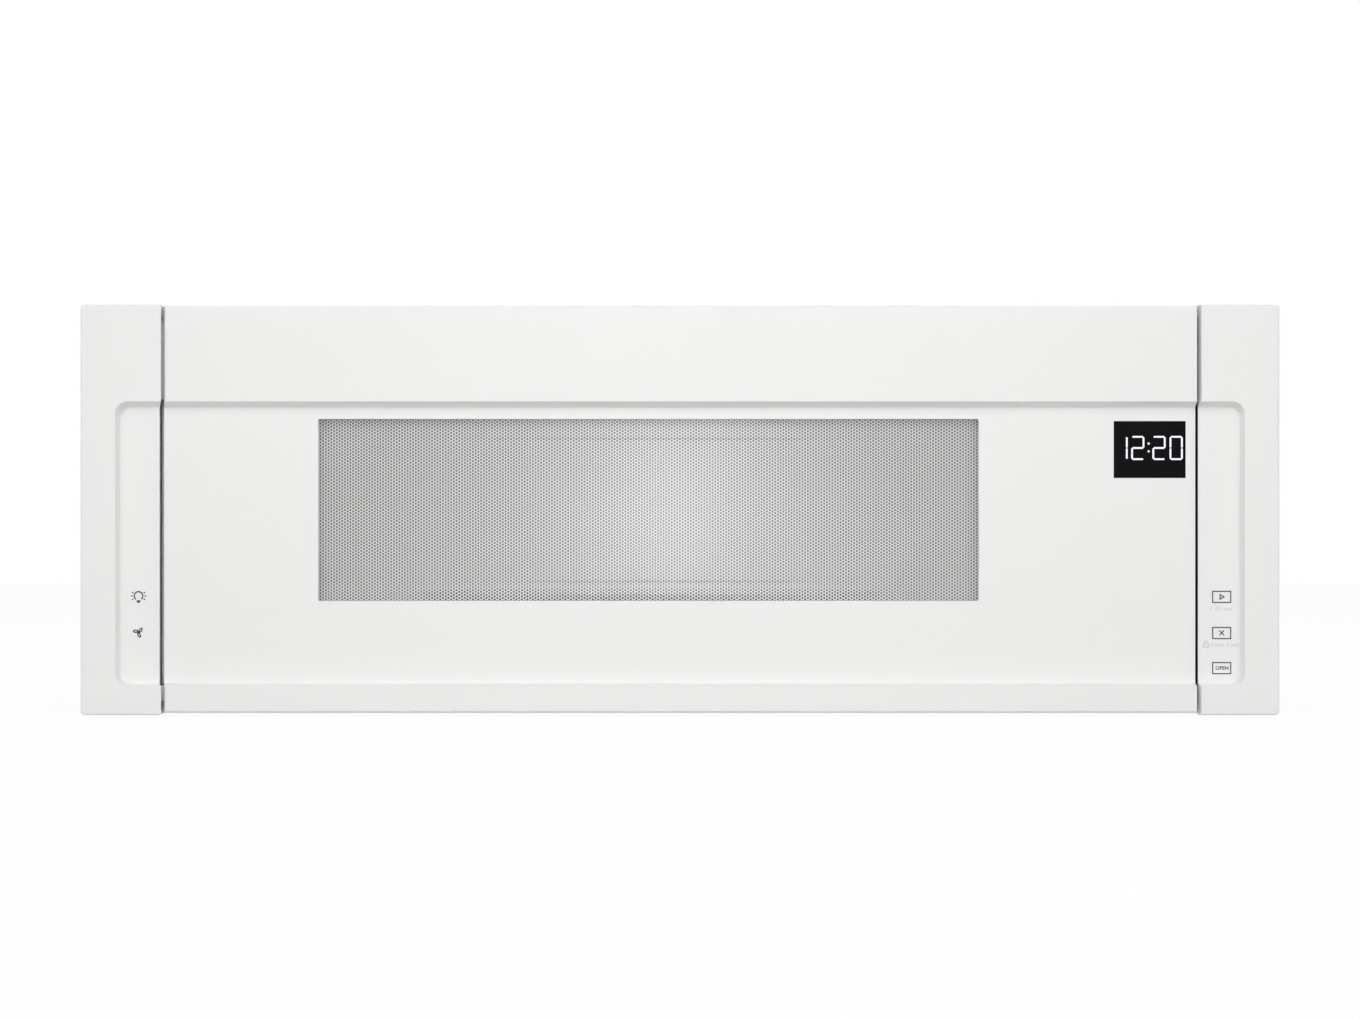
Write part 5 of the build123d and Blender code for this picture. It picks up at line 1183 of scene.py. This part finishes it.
class OVEN_OT_filter_mesh(bpy.types.Operator):
    """Lays a sheet of expanded aluminium over the face of each grease filter"""

    bl_idname = "oven.filter_mesh"
    bl_label = "Filter mesh"

    def execute(self, context):
        # size of one opening with its strands, the opening's share of it, and how many there are
        wide, tall = 6.0 * MM, 3.6 * MM
        opening = 0.72
        columns, rows = 27, 64
        sheet_z, sheet_thick, merge = 4.2 * MM, 0.5 * MM, 0.01 * MM
        low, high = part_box("grease_filter_left")
        centre = ((low[0] + high[0]) / 2, (low[1] + high[1]) / 2)
        start = (centre[0] - (columns - 0.5) * wide / 2, centre[1] - (rows - 0.5) * tall / 2)
        bpy.ops.object.select_all(action="DESELECT")
        bpy.ops.mesh.primitive_circle_add(
            vertices=4, radius=wide / 2, fill_type="NOTHING", location=(*start, sheet_z)
        )
        left = just_made("filter_left_mesh")
        left.scale = (1, tall / wide, 1)
        set_home(left)
        step = (wide / 2, tall / 2, 0)
        open_cell((*start, sheet_z), (opening, opening, 1), step, merge)
        repeat(left, columns, (wide, 0, 0), merge)
        repeat(left, rows, (0, tall, 0), merge)
        thicken(left, sheet_thick)
        # the other filter has the same sheet, as far from this one as the filters are from each other
        other_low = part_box("grease_filter_right")[0]
        right = copy_at(left, (other_low[0] - low[0], other_low[1] - low[1], 0))
        right.name = right.data.name = "filter_right_mesh"
        set_home(right)
        finish = mill_aluminium()
        for sheet, body in ((left, "filter_left"), (right, "filter_right")):
            finish_piece(sheet, finish, body)
        return {"FINISHED"}


class OVEN_OT_screws(bpy.types.Operator):
    """Makes a pan-head screw for each group and sets copies of it where the parts are fixed"""

    bl_idname = "oven.screws"
    bl_label = "Screws"

    def screw_head(self, radius, height):
        """A head with a rounded crown and a round recess for the driver, standing on the ground plane."""
        bpy.ops.object.select_all(action="DESELECT")
        bpy.ops.mesh.primitive_cylinder_add(
            vertices=18, radius=radius, depth=0.5 * radius, location=(0, 0, 0.25 * radius)
        )
        head = just_made("screw_head")
        set_home(head)
        bpy.ops.object.mode_set(mode="EDIT")
        pick(head, lambda centre: centre.z > 0.49 * radius, "FACE")
        # two rings of the crown, then the recess: how far in and how far up, in radii
        for inwards, upwards in ((0.35, 0.16), (0.22, 0.03), (0.02, -0.4)):
            bpy.ops.mesh.inset(thickness=inwards * radius, depth=upwards * radius)
        bpy.ops.object.mode_set(mode="OBJECT")
        face_out(head)
        head.scale = (1, 1, height / head.dimensions.z)
        set_home(head)
        return head

    def execute(self, context):
        finish = zinc_plated_steel()
        # body, turn of the heads, their radius and height, and where they sit, in mm
        groups = {
            "rear_screws": (
                "cabinet",
                (-math.pi / 2, 0, 0),
                (3.4, 2.2),
                [(x, 225.0, z) for x in (-368, -310, 310, 368) for z in (30, 235)],
            ),
            "base_screws": (
                "cabinet",
                (math.pi, 0, 0),
                (3.4, 1.05),
                [(x, y, 1.2) for x in (-366, -150, 150, 366) for y in (-176, 212)],
            ),
            "hinge_screws": (
                "cabinet",
                (math.pi / 2, 0, 0),
                (2.4, 1.5),
                [(-312.9 + dx, -192.0, z) for dx in (-6, 6) for z in (13.6, 245.7)],
            ),
        }
        for name, (body, turn, (radius, height), places) in groups.items():
            head = self.screw_head(radius * MM, height * MM)
            head.rotation_euler = turn
            head.location = [c * MM for c in places[0]]
            set_home(head)
            heads = [head]
            for place in places[1:]:
                twin = copy_at(head, [(here - first) * MM for here, first in zip(place, places[0])])
                set_home(twin)
                heads.append(twin)
            finish_piece(joined(heads, name), finish, body)
        return {"FINISHED"}


class OVEN_OT_stage(bpy.types.Operator):
    """Adds the pale floor, the soft light and the camera"""

    bl_idname = "oven.stage"
    bl_label = "Stage"

    def execute(self, context):
        scene = context.scene
        bpy.ops.object.select_all(action="DESELECT")
        # 14 m wide and a millimetre below the oven
        bpy.ops.mesh.primitive_plane_add(size=14, location=(0, 0, -0.001))
        floor = just_made("floor")
        floor.visible_diffuse = False
        floor.visible_shadow = False
        floor.visible_glossy = False
        # seen from above the floor is nearly all glow, so that it fades into the backdrop; from below it
        # isn't seen
        made, tree, shader, _ = new_finish("studio_floor_white", linear("FCFCFC"), 0.9)
        glow = 0.95
        share = add_node(tree, "ShaderNodeMath", {0: directly_seen(tree), 1: glow}, operation="MULTIPLY")
        white = add_node(tree, "ShaderNodeEmission", {"Color": (1.0, 1.0, 1.0, 1.0), "Strength": 1.0})
        top = add_node(
            tree,
            "ShaderNodeMixShader",
            {0: share.outputs[0], 1: shader.outputs[0], 2: white.outputs[0]},
        )
        clear = add_node(tree, "ShaderNodeBsdfTransparent")
        behind = add_node(tree, "ShaderNodeNewGeometry")
        both = add_node(
            tree,
            "ShaderNodeMixShader",
            {0: behind.outputs["Backfacing"], 1: top.outputs[0], 2: clear.outputs[0]},
        )
        tree.links.new(both.outputs[0], tree.nodes["Material Output"].inputs["Surface"])
        floor.data.materials.append(made)

        world = bpy.data.worlds.new("studio")
        scene.world = world
        world.use_nodes = True
        tree = world.node_tree
        # a white backdrop that gives off less light than it shows
        backdrop = tree.nodes["Background"]
        level = add_node(
            tree,
            "ShaderNodeMapRange",
            {"Value": directly_seen(tree), "To Min": 0.43, "To Max": 1.0},
        )
        tree.links.new(level.outputs["Result"], backdrop.inputs["Strength"])
        backdrop.inputs["Color"].default_value = (1.0, 1.0, 1.0, 1.0)

        # name, place, size, power, spread in degrees and the point that it faces; the last one hangs
        # inside the oven cavity
        lamps = (
            ("key_light", (0.0, -2.75, 2.25), (4.0, 1.6), 39.0, 180, (0.0, 0.0, 0.13)),
            ("front_light", (0.0, -4.6, 0.9), (1.0, 0.8), 0.41, 20, (0.0, 0.0, 0.12)),
            ("left_light", (-2.5, -3.0, 0.1), (0.8, 1.0), 13.0, 180, (0.0, 0.0, 0.13)),
            ("right_light", (2.5, -3.0, 0.1), (0.8, 1.0), 13.0, 180, (0.0, 0.0, 0.13)),
            ("rear_light", (0.0, 2.6, 2.2), (3.0, 1.4), 24.0, 180, (0.0, 0.0, 0.13)),
            ("cavity_light", (-0.008, -0.17, 0.13), (0.012, 0.11), 0.19, 112, (-0.008, 0.141, 0.12)),
        )
        for name, place, size, power, spread, aim in lamps:
            bpy.ops.object.light_add(type="AREA", location=place)
            lamp = bpy.context.object
            lamp.name = name
            lamp.data.shape = "RECTANGLE"
            lamp.data.size, lamp.data.size_y = size
            lamp.data.energy = power
            lamp.data.spread = math.radians(spread)
            away = [place[i] - aim[i] for i in (0, 1, 2)]
            lamp.rotation_euler = (
                math.atan2(math.hypot(away[0], away[1]), away[2]),
                0,
                math.atan2(away[1], away[0]) + math.pi / 2,
            )

        # the camera looks straight at the middle of the front and takes in that width at the door
        distance = scene.oven_sizes.camera_distance
        view_width = 0.8632
        bpy.ops.object.camera_add(
            location=(0.0, DOOR_FACE - distance, FRONT_MIDDLE), rotation=(math.pi / 2, 0, 0)
        )
        camera = bpy.context.object
        camera.name = "front_camera"
        camera.data.sensor_width = 36.0
        camera.data.lens = camera.data.sensor_width * distance / view_width
        camera.data.clip_end = 60.0
        scene.camera = camera
        scene.view_settings.view_transform = "Standard"
        return {"FINISHED"}


class OVEN_PT_panel(bpy.types.Panel):
    """Lists the oven's sizes, colours and operators in the sidebar"""

    bl_idname = "OVEN_PT_panel"
    bl_label = "Oven"
    bl_space_type = "VIEW_3D"
    bl_region_type = "UI"
    bl_category = "Oven"

    def draw(self, context):
        layout = self.layout
        for group in (context.scene.oven_sizes, context.scene.oven_colours):
            for name in group.__annotations__:
                layout.prop(group, name)
        for operator in OPERATORS:
            layout.operator(operator.bl_idname)


OPERATORS = (
    OVEN_OT_finish_frame,
    OVEN_OT_perforated_screen,
    OVEN_OT_clock_digits,
    OVEN_OT_touch_symbols,
    OVEN_OT_gap_seal,
    OVEN_OT_latch_coil,
    OVEN_OT_filter_mesh,
    OVEN_OT_screws,
    OVEN_OT_stage,
)


def register():
    for made in (OvenSizes, OvenColours, *OPERATORS, OVEN_PT_panel):
        bpy.utils.register_class(made)
    bpy.types.Scene.oven_sizes = bpy.props.PointerProperty(type=OvenSizes)
    bpy.types.Scene.oven_colours = bpy.props.PointerProperty(type=OvenColours)


def unregister():
    del bpy.types.Scene.oven_colours
    del bpy.types.Scene.oven_sizes
    for made in reversed((OvenSizes, OvenColours, *OPERATORS, OVEN_PT_panel)):
        bpy.utils.unregister_class(made)


def main():
    register()
    bpy.ops.oven.finish_frame()
    bpy.ops.oven.perforated_screen()
    bpy.ops.oven.clock_digits()
    bpy.ops.oven.touch_symbols()
    bpy.ops.oven.gap_seal()
    bpy.ops.oven.latch_coil()
    bpy.ops.oven.filter_mesh()
    bpy.ops.oven.screws()
    bpy.ops.oven.stage()


if __name__ == "__main__":
    main()
